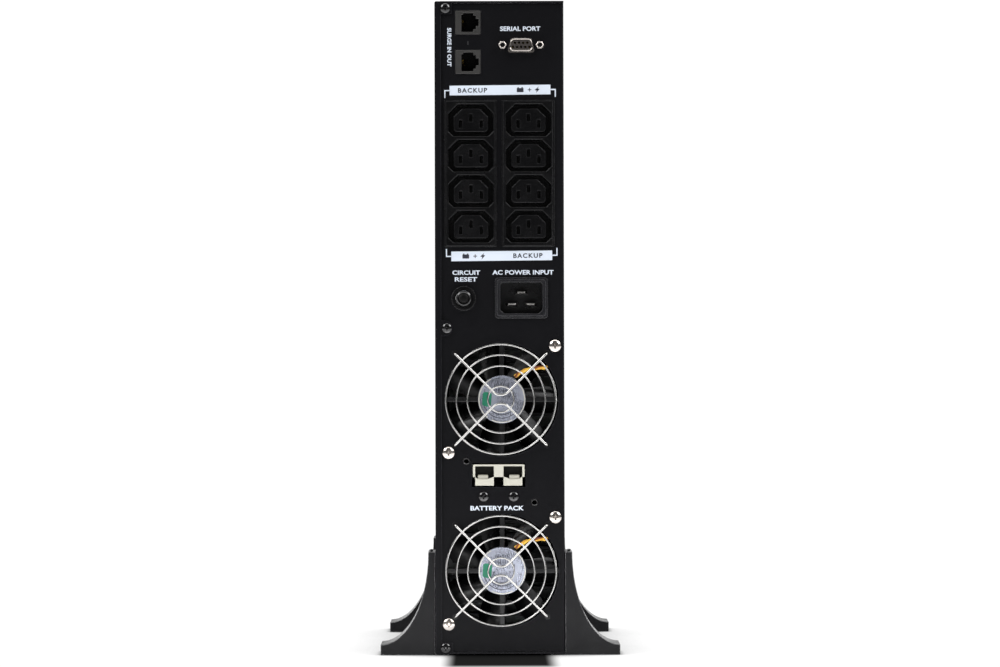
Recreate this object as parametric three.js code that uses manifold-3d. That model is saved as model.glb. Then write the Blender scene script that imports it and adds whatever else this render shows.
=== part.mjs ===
// A two-unit rackmount uninterruptible power supply, standing as a tower on four clip-on feet.
// Millimetres. +Z is up, the connector panel faces -Y, the display and the battery drawer face +Y.
// The origin is on the floor, midway between the two broad sides and midway along the depth.
import * as THREE from "three";
import { mergeVertices } from "three/addons/utils/BufferGeometryUtils.js";
import Module from "manifold-3d";

const wasm = await Module();
wasm.setup();

// ---- driving dimensions ----
const WIDTH = 86.5; // two rack units, the height of the unit when it lies in a rack
const HEIGHT = 437; // the width of the unit between the rack posts
const DEPTH = 436; // rear panel face to bezel face
const LIFT = 1; // the feet's thin lips lie under the body
const SHEET = 1.2; // sheet steel
const BEND = 1.5; // outer radius of a sheet bend
const GAP = 0.3; // clearance between neighbouring pieces
const REAR = -213.1; // outer face of the connector panel: the outermost points lie evenly about y = 0
const BEZEL_DEPTH = 34;
const BEZEL_WALL = 3;
const BAY_TOP = 216.5; // the battery bay ends and the electronics bay starts

const RIGHT = WIDTH / 2;
const LEFT = -RIGHT;
const TOP = LIFT + HEIGHT;
const FRONT = REAR + DEPTH;
const OUTSIDE = REAR - GAP; // plane that holds what is mounted outside the panel
const INSIDE = REAR + SHEET + GAP; // plane that holds what is mounted inside the panel
const BEZEL_BACK = FRONT - BEZEL_DEPTH;
const FRAME_FRONT = BEZEL_BACK - GAP;
const FRAME_BACK = FRAME_FRONT - SHEET;
const CHASSIS_FRONT = FRAME_BACK - GAP;
const THROUGH = 1; // how far a cutter runs past the face it cuts

// ---- connector panel layout: x from the middle, z above the underside of the body ----
const OUTLET = { x: 19.3, z: 321.5, width: 35.4, height: 98.5, rows: 4, pitch: 23.75, depth: 25 };
const OUTLET_WELL = { width: 29.9, height: 20.4, topCut: 6, bottomCut: 3, depth: 16 };
const OUTLET_CORE = { width: 22.9, height: 15.5, topCut: 5.5, bottomCut: 1.6 };
const OUTLET_SLOTS = { width: 2, height: 5.4, places: [[0, 1.7], [-6.95, -2.4], [6.95, -2.4]] };
const INLET = { x: 14.6, z: 238.1, width: 35.5, height: 27.4, depth: 28 };
const INLET_WELL = { width: 28.4, height: 21, cut: 2, depth: 20 };
const BREAKER = { x: -24, z: 237.8 };
const JACK = { x: -20.8, zs: [422.7, 396.3], width: 16.8, height: 15.9, depth: 16 };
const SERIAL = { x: 14.8, z: 407.4, screwOffset: 12.5 };
const FAN = { x: 1.3, zs: { upper: 170.2, lower: 55.4 }, size: 80, depth: 25, bore: 38.2, hub: 16.2 };
const FAN_SCREW = FAN.size / 2 - 4.25; // 71.5 mm between the screw holes of an 80 mm fan
const GUARD = { x: 0.6, rings: [36.8, 29.7, 22.4, 8.7], tip: 30.9, inner: 3, wire: 0.7, spoke: 1 };
const BATTERY_PORT = { x: -0.9, z: 119.6, width: 34.6, height: 14.2 };
const PORT_SCREWS = { left: [-11, 105], right: [9.1, 105] };
const COVER_SCREWS = { top: [-36, 432.2], middle: [-35.3, 217.9], bottom: [-36.6, 3.9] };
const SPARE_HOLES = [[-22.5, 128.8], [23, 101.1]];

// ---- front layout ----
const DIAL = { z: 328, radius: 33.5, flange: 2.8, depth: 14, sink: 1.5 };
const BATTERY = { x: [-29, 36], length: 151, height: 94, rows: [9.7, 111], terminal: 6 };
const TRAY = { x: [-34.5, 37.7], y: [-124, 182.2], z: [8, 213.7] };
const FOOT = { top: 69, lipHeight: 7, reach: 37, topReach: 5, under: 9, length: 62, inset: 1, pitch: 362 };

// ---- finishes ----
function finish(color, roughness, metalness) {
  return new THREE.MeshStandardMaterial({ color, roughness, metalness });
}

const BLACK_STEEL = finish(0x18181b, 0.55, 0.2);
const ZINC_STEEL = finish(0x9a9ea1, 0.4, 0.9);
const NICKEL = finish(0xc8c4bc, 0.25, 1);
const ALUMINIUM = finish(0xa9adb0, 0.45, 0.9);
const BLACK_PLASTIC = finish(0x222224, 0.5, 0);
const GREY_PLASTIC = finish(0x464646, 0.5, 0);
const FOOT_PLASTIC = finish(0x343436, 0.7, 0);
const IVORY_PLASTIC = finish(0xe6dfc8, 0.45, 0);
const BATTERY_PLASTIC = finish(0x4b4f55, 0.6, 0);
const LCD_GLASS = finish(0x1d2a3a, 0.1, 0);
const BOARD = finish(0x1f5a34, 0.6, 0);
const WINDING = finish(0xa8622c, 0.5, 0.4);
const CABLE = finish(0xd6a92a, 0.6, 0);

// ---- solids ----
function solidOf(geometry) {
  const bare = new THREE.BufferGeometry();
  bare.setAttribute("position", geometry.getAttribute("position"));
  bare.setIndex(geometry.index);
  const merged = mergeVertices(bare, 1e-4);
  const mesh = new wasm.Mesh({
    numProp: 3,
    vertProperties: merged.attributes.position.array,
    triVerts: new Uint32Array(merged.index.array),
  });
  return new wasm.Manifold(mesh);
}

const union = (solids) => solids.reduce((joined, next) => joined.add(next));
const cut = (solid, cutters) => solid.subtract(union(cutters));

function block([x0, y0, z0], [x1, y1, z1]) {
  const geometry = new THREE.BoxGeometry(x1 - x0, y1 - y0, z1 - z0);
  geometry.translate((x0 + x1) / 2, (y0 + y1) / 2, (z0 + z1) / 2);
  return solidOf(geometry);
}

function rodAlongY(x, z, radius, y0, y1, sides = 16) {
  const geometry = new THREE.CylinderGeometry(radius, radius, y1 - y0, sides);
  geometry.translate(x, (y0 + y1) / 2, z);
  return solidOf(geometry);
}

function rodAlongX(y, z, radius, x0, x1, sides = 16) {
  const geometry = new THREE.CylinderGeometry(radius, radius, x1 - x0, sides);
  geometry.rotateZ(Math.PI / 2);
  geometry.translate((x0 + x1) / 2, y, z);
  return solidOf(geometry);
}

function extrusion(shape, depth, curveSegments) {
  return new THREE.ExtrudeGeometry(shape, { depth, curveSegments, bevelEnabled: false });
}

// A shape drawn in x and z, thickened along y.
function slabAlongY(shape, y0, y1, curveSegments = 4) {
  const geometry = extrusion(shape, y1 - y0, curveSegments);
  geometry.rotateX(Math.PI / 2);
  geometry.translate(0, y1, 0);
  return solidOf(geometry);
}

// A shape drawn in y and z, thickened along x.
function slabAlongX(shape, x0, x1, curveSegments = 4) {
  const geometry = extrusion(shape, x1 - x0, curveSegments);
  const [x, y, z] = [[1, 0, 0], [0, 1, 0], [0, 0, 1]].map((axis) => new THREE.Vector3(...axis));
  geometry.applyMatrix4(new THREE.Matrix4().makeBasis(y, z, x));
  geometry.translate(x0, 0, 0);
  return solidOf(geometry);
}

// A shape drawn in x and y, thickened along z.
function slabAlongZ(shape, z0, z1, curveSegments = 4) {
  const geometry = extrusion(shape, z1 - z0, curveSegments);
  geometry.translate(0, 0, z0);
  return solidOf(geometry);
}

// A profile of [radius, y] points, from the axis back to the axis, turned about a line along y.
function turned(x, z, profile, sides) {
  const points = profile.map(([radius, y]) => new THREE.Vector2(radius, y));
  const geometry = new THREE.LatheGeometry(points, sides);
  geometry.translate(x, 0, z);
  return solidOf(geometry);
}

// ---- outlines ----
// A closed outline whose corners are rounded by the radius given for each one, or for all.
function roundedOutline(corners, radius) {
  const shape = new THREE.Shape();
  const points = corners.map(([a, b]) => new THREE.Vector2(a, b));
  points.forEach((corner, i) => {
    const r = Array.isArray(radius) ? radius[i] : radius;
    const before = points[(i + points.length - 1) % points.length];
    const after = points[(i + 1) % points.length];
    const start = before.clone().sub(corner).setLength(r).add(corner);
    const end = after.clone().sub(corner).setLength(r).add(corner);
    if (i === 0) shape.moveTo(start.x, start.y);
    else shape.lineTo(start.x, start.y);
    if (r > 0) shape.quadraticCurveTo(corner.x, corner.y, end.x, end.y);
  });
  return shape;
}

function rectangle(x, z, width, height, radius = 0) {
  const [w, h] = [width / 2, height / 2];
  return roundedOutline([[x - w, z - h], [x + w, z - h], [x + w, z + h], [x - w, z + h]], radius);
}

// A rectangle with its two upper corners and its two lower corners cut at 45 degrees.
function cutRectangle(x, z, { width, height, topCut, bottomCut }, grow = 0) {
  const [w, h] = [width / 2 + grow, height / 2 + grow];
  return roundedOutline([
    [x - w, z - h + bottomCut], [x - w + bottomCut, z - h], [x + w - bottomCut, z - h],
    [x + w, z - h + bottomCut], [x + w, z + h - topCut], [x + w - topCut, z + h],
    [x - w + topCut, z + h], [x - w, z + h - topCut],
  ], 0);
}

// The nine-pin connector's outline: its wide side is at the bottom and its ends lean in 10 degrees.
function serialOutline(width, height) {
  const lean = height * Math.tan(THREE.MathUtils.degToRad(10));
  const [x, z, w, h] = [SERIAL.x, LIFT + SERIAL.z, width / 2, height / 2];
  return roundedOutline([[x - w, z - h], [x + w, z - h], [x + w - lean, z + h], [x - w + lean, z + h]], 2);
}

// A sheet bent at right angles along its outer face, with its thickness to the left of the path.
function bentSheet(path) {
  const points = path.map(([a, b]) => new THREE.Vector2(a, b));
  const ways = points.slice(1).map((point, i) => point.clone().sub(points[i]).normalize());
  const normals = ways.map((way) => new THREE.Vector2(-way.y, way.x).multiplyScalar(SHEET));
  const inner = points.map((point, i) => {
    const sum = point.clone();
    if (i > 0) sum.add(normals[i - 1]);
    if (i < normals.length) sum.add(normals[i]);
    return sum;
  });
  const isEnd = (i) => i === 0 || i === points.length - 1;
  const outerRadii = points.map((_, i) => (isEnd(i) ? 0 : BEND));
  const innerRadii = points.map((_, i) => (isEnd(i) ? 0 : BEND - SHEET));
  const outline = [...points, ...inner.reverse()].map((point) => point.toArray());
  return roundedOutline(outline, [...outerRadii, ...innerRadii.reverse()]);
}

// ---- the exported group ----
const ups = new THREE.Group();
ups.name = "rackmount_ups";

function piece(name, solid, material) {
  const { vertProperties, triVerts } = solid.getMesh();
  const geometry = new THREE.BufferGeometry();
  geometry.setAttribute("position", new THREE.BufferAttribute(new Float32Array(vertProperties), 3));
  geometry.setIndex(new THREE.BufferAttribute(new Uint32Array(triVerts), 1));
  geometry.computeVertexNormals();
  const mesh = new THREE.Mesh(geometry, material);
  mesh.name = name;
  ups.add(mesh);
}

// ---- fasteners ----
// A domed cross-head screw whose head sits on the plane y = seat and faces -Y.
function crossHeadScrew([x, z], { head, height, shank, seat, end }) {
  const crown = seat - height;
  const profile = [
    [0, crown], [head * 0.7, crown + height * 0.2], [head, seat - height * 0.2],
    [head, seat], [shank, seat], [shank, end], [0, end],
  ];
  const arm = head * 0.5;
  const slot = head * 0.13;
  const recess = crown + height * 0.7;
  return cut(turned(x, z, profile, 10), [
    block([x - arm, crown - THROUGH, z - slot], [x + arm, recess, z + slot]),
    block([x - slot, crown - THROUGH, z - arm], [x + slot, recess, z + arm]),
  ]);
}

const raised = ([x, z]) => [x, z + LIFT];

// ---- the sheet-metal case ----
function fanCutters(fanZ) {
  const panel = [REAR - THROUGH, REAR + SHEET + THROUGH];
  const hole = (x, z, radius) => rodAlongY(x, z, radius, ...panel, 8);
  const tipHoles = [-1, 1].flatMap((sideX) => [-1, 1].map((sideZ) =>
    hole(GUARD.x + sideX * GUARD.tip, fanZ + sideZ * GUARD.tip, GUARD.spoke + 0.8)));
  const screwHoles = [-1, 1].map((side) => hole(FAN.x + side * FAN_SCREW, fanZ + side * FAN_SCREW, 2.3));
  return [rodAlongY(FAN.x, fanZ, FAN.bore, ...panel, 36), ...screwHoles, ...tipHoles];
}

function panelCutters() {
  const panel = [REAR - THROUGH, REAR + SHEET + THROUGH];
  const window = (x, z, width, height) => slabAlongY(rectangle(x, z + LIFT, width, height), ...panel);
  const hole = ([x, z], radius) => rodAlongY(x, z + LIFT, radius, ...panel, 12);
  return [
    ...[-1, 1].map((side) => window(side * OUTLET.x, OUTLET.z, OUTLET.width - 1.8, OUTLET.height - 1.8)),
    window(INLET.x, INLET.z, INLET.width - 3.3, INLET.height - 2),
    window(BATTERY_PORT.x, BATTERY_PORT.z, BATTERY_PORT.width + 1.4, BATTERY_PORT.height + 2.1),
    ...JACK.zs.map((z) => window(JACK.x, z, JACK.width + 0.8, JACK.height + 0.8)),
    slabAlongY(serialOutline(18.1, 9.9), ...panel),
    ...[-1, 1].map((side) => hole([SERIAL.x + side * SERIAL.screwOffset, SERIAL.z], 1.8)),
    hole([BREAKER.x, BREAKER.z], 5.7),
    ...Object.values(PORT_SCREWS).map((place) => hole(place, 1.9)),
    ...Object.values(COVER_SCREWS).map((place) => hole(place, 1.7)),
    ...SPARE_HOLES.map((place) => hole(place, 2)),
    ...Object.values(FAN.zs).flatMap((z) => fanCutters(z + LIFT)),
  ];
}

// The rack-bottom plate, which stands on the right, and the connector panel folded from the same sheet.
function chassisBase() {
  const edge = LEFT + SHEET + GAP;
  const sheet = slabAlongZ(bentSheet([
    [edge, REAR + 14], [edge, REAR], [RIGHT, REAR], [RIGHT, CHASSIS_FRONT], [RIGHT - 4.5, CHASSIS_FRONT],
  ]), LIFT + SHEET + GAP, TOP - SHEET - GAP);
  const standoffs = [-140, 150].flatMap((y) => [234, 422].map((z) =>
    rodAlongX(y, z, 4, BOARD_X[1] + GAP, RIGHT - SHEET / 2, 8)));
  return cut(union([sheet, ...standoffs]), panelCutters());
}

// The lip that folds round onto the connector panel, with a tab at each of its three screws.
function coverLip() {
  const lipEdge = -39;
  const lipPlane = [OUTSIDE - SHEET, OUTSIDE];
  const tabEdge = -31.7;
  const [top, middle, bottom] = Object.values(COVER_SCREWS).map(raised);
  const tab = (z0, z1) => block([LEFT + SHEET, lipPlane[0], z0], [tabEdge, lipPlane[1], z1]);
  const roundTab = rodAlongY(tabEdge - 5.3, middle[1], 5.3, ...lipPlane, 24);
  const lip = union([
    block([LEFT, lipPlane[0], LIFT + BEND], [lipEdge, lipPlane[1], TOP - BEND]),
    tab(TOP - 8.5, TOP - 1),
    tab(LIFT + 0.5, LIFT + 7.3),
    block([LEFT + SHEET, lipPlane[0], middle[1] - 5.3], [tabEdge - 5.3, lipPlane[1], middle[1] + 5.3]),
    roundTab,
  ]);
  const relief = slabAlongY(
    roundedOutline([[-42.3, TOP + THROUGH], [-40.5, TOP - 1.9], [-38.8, TOP + THROUGH]], 0),
    lipPlane[0] - THROUGH, lipPlane[1]);
  const holes = [top, middle, bottom].map(([x, z]) =>
    rodAlongY(x, z, 1.7, lipPlane[0] - THROUGH, lipPlane[1] + THROUGH, 12));
  return { lip, cutters: [relief, ...holes] };
}

// The rack-top plate, which stands on the left, with both narrow sides folded from the same sheet.
function topCover() {
  const { lip, cutters } = coverLip();
  const shell = slabAlongY(
    bentSheet([[RIGHT, TOP], [LEFT, TOP], [LEFT, LIFT], [RIGHT, LIFT]]), OUTSIDE - SHEET, FRAME_FRONT);
  const earHoles = [-18, 18].flatMap((x) => [110, 150].map((y) => earHole(x, y)));
  return cut(shell.add(lip), [...cutters, ...earHoles]);
}

// A hole through both narrow sides, for a rack ear's screw.
function earHole(x, y) {
  const geometry = new THREE.CylinderGeometry(2.2, 2.2, HEIGHT + 2 * THROUGH, 12);
  geometry.rotateX(Math.PI / 2);
  geometry.translate(x, y, LIFT + HEIGHT / 2);
  return solidOf(geometry);
}

function frontFrame() {
  const [x0, x1, z0, z1] = [LEFT + SHEET + GAP, RIGHT, LIFT + SHEET + GAP, TOP - SHEET - GAP];
  const window = ([lowX, lowZ], [highX, highZ]) =>
    block([lowX, FRAME_BACK - THROUGH, lowZ], [highX, FRAME_FRONT + THROUGH, highZ]);
  return cut(block([x0, FRAME_BACK, z0], [x1, FRAME_FRONT, z1]), [
    window([TRAY.x[0] - 1, TRAY.z[0] - 1], [TRAY.x[1] + 1, TRAY.z[1] + 1]),
    window([-34, BAY_TOP + 8], [34, TOP - 12]),
  ]);
}

// The plate between the two bays, folded down behind the batteries, with windows for the cooling air.
function bayDivider() {
  const wall = TRAY.y[0] - 7.2;
  const sheet = slabAlongX(
    bentSheet([[CHASSIS_FRONT - SHEET - GAP, BAY_TOP], [wall, BAY_TOP], [wall, LIFT + 2.5]]),
    LEFT + SHEET + 2 * GAP, RIGHT - SHEET - GAP);
  const windows = [-1, 1].flatMap((side) => [0, 1, 2, 3].map((row) => {
    const z = 18 + row * 48;
    return block([side * 20 - 16, wall - THROUGH, z], [side * 20 + 16, wall + SHEET + THROUGH, z + 38]);
  }));
  return cut(sheet, windows);
}

// ---- connectors ----
function outletBlock(x) {
  const z = LIFT + OUTLET.z;
  const face = OUTSIDE - 1.6;
  const flange = slabAlongY(rectangle(x, z, OUTLET.width, OUTLET.height, 1), face, OUTSIDE, 2);
  const bodyShape = rectangle(x, z, OUTLET.width - 2.6, OUTLET.height - 2.6);
  const body = slabAlongY(bodyShape, face + 1, face + OUTLET.depth);
  const rows = Array.from({ length: OUTLET.rows }, (_, row) => z + (row - 1.5) * OUTLET.pitch);
  return cut(flange.add(body), rows.flatMap((rowZ) => socketCutters(x, rowZ, face)));
}

function socketCutters(x, z, face) {
  const groove = cutRectangle(x, z, OUTLET_WELL);
  groove.holes.push(cutRectangle(x, z, OUTLET_CORE));
  const [w, h] = [OUTLET_SLOTS.width / 2, OUTLET_SLOTS.height / 2];
  const slots = OUTLET_SLOTS.places.map(([dx, dz]) =>
    block([x + dx - w, face - THROUGH, z + dz - h], [x + dx + w, face + 13, z + dz + h]));
  return [
    slabAlongY(groove, face - THROUGH, face + OUTLET_WELL.depth),
    slabAlongY(cutRectangle(x, z, OUTLET_CORE, 0.1), face - THROUGH, face + 0.8),
    ...slots,
  ];
}

const INLET_PINS = {
  inlet_pin_earth: [0, 3.8],
  inlet_pin_line: [-6.3, -4.2],
  inlet_pin_neutral: [6.3, -4.2],
};
const INLET_FACE = OUTSIDE - 2;

function inletHousing() {
  const [x, z] = raised([INLET.x, INLET.z]);
  const well = { width: INLET_WELL.width, height: INLET_WELL.height, topCut: 0.8, bottomCut: INLET_WELL.cut };
  const flange = slabAlongY(rectangle(x, z, INLET.width, INLET.height, 2), INLET_FACE, OUTSIDE, 3);
  const bodyShape = rectangle(x, z, INLET.width - 4.2, INLET.height - 3);
  const back = INLET_FACE + INLET.depth;
  const body = slabAlongY(bodyShape, INLET_FACE + 1, back);
  const slots = Object.values(INLET_PINS).map(([dx, dz]) =>
    block([x + dx - 4.3, INLET_FACE, z + dz - 1.3], [x + dx + 4.3, back + THROUGH, z + dz + 1.3]));
  const hollow = slabAlongY(cutRectangle(x, z, well), INLET_FACE - THROUGH, INLET_FACE + INLET_WELL.depth);
  return cut(flange.add(body), [hollow, ...slots]);
}

function inletPin([dx, dz]) {
  const [x, z] = raised([INLET.x + dx, INLET.z + dz]);
  const back = INLET_FACE + INLET.depth;
  const blade = block([x - 4, INLET_FACE + 3.5, z - 1], [x + 4, back, z + 1]);
  const tab = block([x - 3.15, back - 1, z - 0.4], [x + 3.15, back + 8, z + 0.4]);
  return blade.add(tab);
}

// A six-way line jack lying on its side, with its latch towards +X.
function lineJack(z) {
  const x = JACK.x;
  const face = REAR - 1;
  const opening = (x0, x1, height, depth) =>
    block([x + x0, face - THROUGH, z - height / 2], [x + x1, face + depth, z + height / 2]);
  return cut(slabAlongY(rectangle(x, z, JACK.width, JACK.height, 0.6), face, face + JACK.depth, 2), [
    opening(-4.2, 3.6, 12.6, 13),
    opening(3.5, 5.3, 9.2, 13),
    opening(5.2, 7.2, 4.8, 9),
  ]);
}

const SERIAL_FRONT = REAR - 5.4;

function serialShell() {
  const [x, z] = raised([SERIAL.x, SERIAL.z]);
  const flange = slabAlongY(rectangle(x, z, 31, 12.4, 1.2), INSIDE, INSIDE + 0.8, 2);
  const sleeve = slabAlongY(serialOutline(16.9, 8.7), SERIAL_FRONT, INSIDE + 6);
  const screwHoles = [-1, 1].map((side) =>
    rodAlongY(x + side * SERIAL.screwOffset, z, 1.8, INSIDE - THROUGH, INSIDE + 1 + THROUGH, 10));
  const hollow = slabAlongY(serialOutline(15.9, 7.7), SERIAL_FRONT - THROUGH, INSIDE + 6 + THROUGH);
  return cut(flange.add(sleeve), [hollow, ...screwHoles]);
}

function serialInsert() {
  const [x, z] = raised([SERIAL.x, SERIAL.z]);
  const holeRow = (count, dz) => Array.from({ length: count }, (_, i) =>
    rodAlongY(x + (i - (count - 1) / 2) * 2.77, z + dz, 0.75, SERIAL_FRONT - THROUGH, SERIAL_FRONT + 6, 6));
  const insert = slabAlongY(serialOutline(15.3, 7.1), SERIAL_FRONT + 0.5, INSIDE + 9);
  return cut(insert, [...holeRow(4, 1.42), ...holeRow(5, -1.42)]);
}

function jackScrew(side) {
  const [x, z] = raised([SERIAL.x + side * SERIAL.screwOffset, SERIAL.z]);
  const hexagon = rodAlongY(x, z, 2.75, OUTSIDE - 5, OUTSIDE, 6);
  const shank = rodAlongY(x, z, 1.4, OUTSIDE - THROUGH, INSIDE + 4, 10);
  return cut(hexagon.add(shank), [rodAlongY(x, z, 1.2, OUTSIDE - 5 - THROUGH, OUTSIDE - 1, 10)]);
}

// Two-pole battery connector: a hood above, and one half-open contact block for each pole below.
const PORT_FACE = REAR - 2;
const POLE_OFFSET = 9.5;
const POLE_WIDTH = 12.2;
const PORT_WALL = 1.6;

function batteryConnector() {
  const [x, z] = raised([BATTERY_PORT.x, BATTERY_PORT.z]);
  const [w, h] = [BATTERY_PORT.width / 2, BATTERY_PORT.height / 2];
  const body = block([x - w, PORT_FACE, z - h], [x + w, INSIDE + 24, z + h]);
  const pole = (side) => [x + side * POLE_OFFSET - POLE_WIDTH / 2, x + side * POLE_OFFSET + POLE_WIDTH / 2];
  const windows = [-1, 1].flatMap((side) => {
    const [x0, x1] = pole(side);
    return [
      block([x0 - 0.1, PORT_FACE - THROUGH, z - h + 5.8], [x1 + 0.1, INSIDE + 20, z + h - 1.2]),
      rodAlongY((x0 + x1) / 2, z - h + 6.8, 4.2, PORT_FACE - THROUGH, INSIDE + 20, 20),
    ];
  });
  const middle = block([x - 3.3, PORT_FACE - THROUGH, z - h - THROUGH], [x + 3.3, INSIDE + 4, z - h + 5.8]);
  const sides = [-1, 1].map((side) =>
    block([x + side * w - PORT_WALL, PORT_FACE - THROUGH, z - h - THROUGH],
      [x + side * w + PORT_WALL, INSIDE + 4, z - h + 5.8]));
  const leadHoles = [-1, 1].map((side) =>
    rodAlongY(x + side * POLE_OFFSET, z + 2, 4.3, INSIDE + 19, INSIDE + 24 + THROUGH, 14));
  return cut(body, [...windows, middle, ...sides, ...leadHoles]);
}

function batteryContact(side) {
  const [x, z] = raised([BATTERY_PORT.x + side * POLE_OFFSET, BATTERY_PORT.z]);
  const blade = block([x - 3.6, PORT_FACE + 1.5, z - 0.2], [x + 3.6, INSIDE + 18, z + 1.4]);
  return blade.add(rodAlongY(x, z + 2, 3.6, INSIDE + 17, INSIDE + 28, 12));
}

// ---- breaker ----
function breakerBody() {
  const [x, z] = raised([BREAKER.x, BREAKER.z]);
  const can = block([x - 7.5, INSIDE, z - 12], [x + 7.5, INSIDE + 30, z + 12]);
  const neck = rodAlongY(x, z, 5.35, OUTSIDE - 8, INSIDE + THROUGH, 24);
  return cut(can.add(neck), [rodAlongY(x, z, 3.5, OUTSIDE - 8 - THROUGH, INSIDE + 20, 20)]);
}

function breakerNut() {
  const [x, z] = raised([BREAKER.x, BREAKER.z]);
  const teeth = 20;
  const rim = Array.from({ length: 2 * teeth }, (_, i) => {
    const radius = i % 2 ? 8.65 : 8.15;
    const angle = (i * Math.PI) / teeth;
    return [x + radius * Math.cos(angle), z + radius * Math.sin(angle)];
  });
  return slabAlongY(roundedOutline(rim, 0), OUTSIDE - 3.2, OUTSIDE)
    .subtract(rodAlongY(x, z, 5.65, OUTSIDE - 4.2, OUTSIDE + THROUGH, 24));
}

function breakerButton() {
  const [x, z] = raised([BREAKER.x, BREAKER.z]);
  const tip = OUTSIDE - 9.5;
  return turned(x, z, [[0, tip], [2.5, tip], [3.2, tip + 0.7], [3.2, INSIDE + 12], [0, INSIDE + 12]], 20);
}

// ---- fans ----
const STRUT = { y: [INSIDE, INSIDE + 3.4], count: 4, startAngle: 0 };
const ROTOR_Y = [INSIDE + 4.2, INSIDE + FAN.depth - 2];

function fanFrame(z) {
  const back = INSIDE + FAN.depth;
  const plate = (y0, y1) => slabAlongY(rectangle(FAN.x, z, FAN.size, FAN.size, 5), y0, y1, 3);
  const tube = rodAlongY(FAN.x, z, FAN.size / 2 - 0.1, INSIDE + 1, back - 1, 32);
  const bore = rodAlongY(FAN.x, z, FAN.bore, INSIDE - THROUGH, back + THROUGH, 32);
  const holes = [-1, 1].flatMap((sideX) => [-1, 1].map((sideZ) =>
    rodAlongY(FAN.x + sideX * FAN_SCREW, z + sideZ * FAN_SCREW, 2.3, INSIDE - THROUGH, back + THROUGH, 8)));
  const struts = Array.from({ length: STRUT.count }, (_, i) => {
    const angle = STRUT.startAngle + (i * 2 * Math.PI) / STRUT.count;
    const geometry = new THREE.BoxGeometry(FAN.bore - 8, STRUT.y[1] - STRUT.y[0], 3);
    geometry.translate((FAN.bore + 10) / 2, (STRUT.y[0] + STRUT.y[1]) / 2, 0);
    geometry.rotateY(angle);
    geometry.translate(FAN.x, 0, z);
    return solidOf(geometry);
  });
  const hub = rodAlongY(FAN.x, z, FAN.hub, ...STRUT.y, 24);
  const bearing = rodAlongY(FAN.x, z, 4.5, STRUT.y[0], ROTOR_Y[1] - 4, 14);
  const shaftBore = rodAlongY(FAN.x, z, 1.8, STRUT.y[1] - 1.5, back, 12);
  const shell = cut(union([plate(INSIDE, INSIDE + 3.5), plate(back - 3.5, back), tube]), [bore, ...holes]);
  return union([shell, hub, bearing, ...struts]).subtract(shaftBore);
}

// A blade is a flat bar bent round the axis, pitched steeply at the hub and flatter at its tip.
function fanBlade(z, angle) {
  const [root, tip, chord] = [FAN.hub - 0.6, FAN.bore - 1.4, 22];
  const geometry = new THREE.BoxGeometry(tip - root, 1.3, chord, 2, 1, 3);
  const position = geometry.getAttribute("position");
  const middle = (ROTOR_Y[0] + ROTOR_Y[1]) / 2;
  for (let i = 0; i < position.count; i += 1) {
    const along = position.getX(i) + (tip - root) / 2;
    const radius = root + along;
    const pitch = THREE.MathUtils.degToRad(42 + (16 * along) / (tip - root));
    const [thick, wide] = [position.getY(i), position.getZ(i)];
    const camber = 1.6 * (1 - (2 * wide / chord) ** 2);
    const across = wide * Math.sin(pitch) + (thick + camber) * Math.cos(pitch);
    const axial = wide * Math.cos(pitch) - (thick + camber) * Math.sin(pitch);
    const turn = angle - across / radius;
    position.setXYZ(i, FAN.x + radius * Math.cos(turn), middle + axial, z + radius * Math.sin(turn));
  }
  return solidOf(geometry);
}

function fanRotor(z) {
  const [y0, y1] = ROTOR_Y;
  const profile = [[0, y0], [FAN.hub, y0], [FAN.hub, y1 - 1.5], [FAN.hub - 1.5, y1], [0, y1]];
  const cup = turned(FAN.x, z, profile, 24)
    .subtract(rodAlongY(FAN.x, z, FAN.hub - 2, y0 - THROUGH, y1 - 2.5, 20));
  const shaft = rodAlongY(FAN.x, z, 1.5, STRUT.y[1] - 0.8, y1 - 1, 8);
  const blades = Array.from({ length: 7 }, (_, i) => fanBlade(z, (i * 2 * Math.PI) / 7));
  return union([cup, shaft, ...blades]);
}

function wireRing(z, radius, y) {
  const geometry = new THREE.TorusGeometry(radius, GUARD.wire, 4, 24);
  geometry.rotateX(Math.PI / 2);
  geometry.translate(GUARD.x, y, z);
  return solidOf(geometry);
}

// A spoke wire: out of one hole in the panel, across the rings to the middle, and back to the next hole.
function wireSpoke(z, side, y) {
  const { tip, inner } = GUARD;
  const at = (x, height, depth) => new THREE.Vector3(GUARD.x + x, depth, z + side * height);
  const half = (sign) => [
    at(sign * tip, tip, INSIDE), at(sign * tip, tip, y + 2.5), at(sign * (tip - 0.6), tip - 0.6, y + 0.7),
    at(sign * (tip - 2.5), tip - 2.5, y), at(sign * 18, 18.2, y), at(sign * 6, 6.2, y), at(sign * 3, 3.7, y),
  ];
  const stops = [...half(-1), at(0, inner, y), ...half(1).reverse()];
  const route = new THREE.CatmullRomCurve3(stops, false, "centripetal");
  const section = new THREE.Shape().absarc(0, 0, GUARD.spoke, 0, 2 * Math.PI);
  const options = { steps: 28, curveSegments: 3, bevelEnabled: false, extrudePath: route };
  return solidOf(new THREE.ExtrudeGeometry(section, options));
}

function fanGuard(z) {
  const ringY = OUTSIDE - 1.6;
  const spokeY = ringY - GUARD.wire - GUARD.spoke + 0.4;
  const rings = GUARD.rings.map((radius) => wireRing(z, radius, ringY));
  return union([...rings, wireSpoke(z, 1, spokeY), wireSpoke(z, -1, spokeY)]);
}

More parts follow.
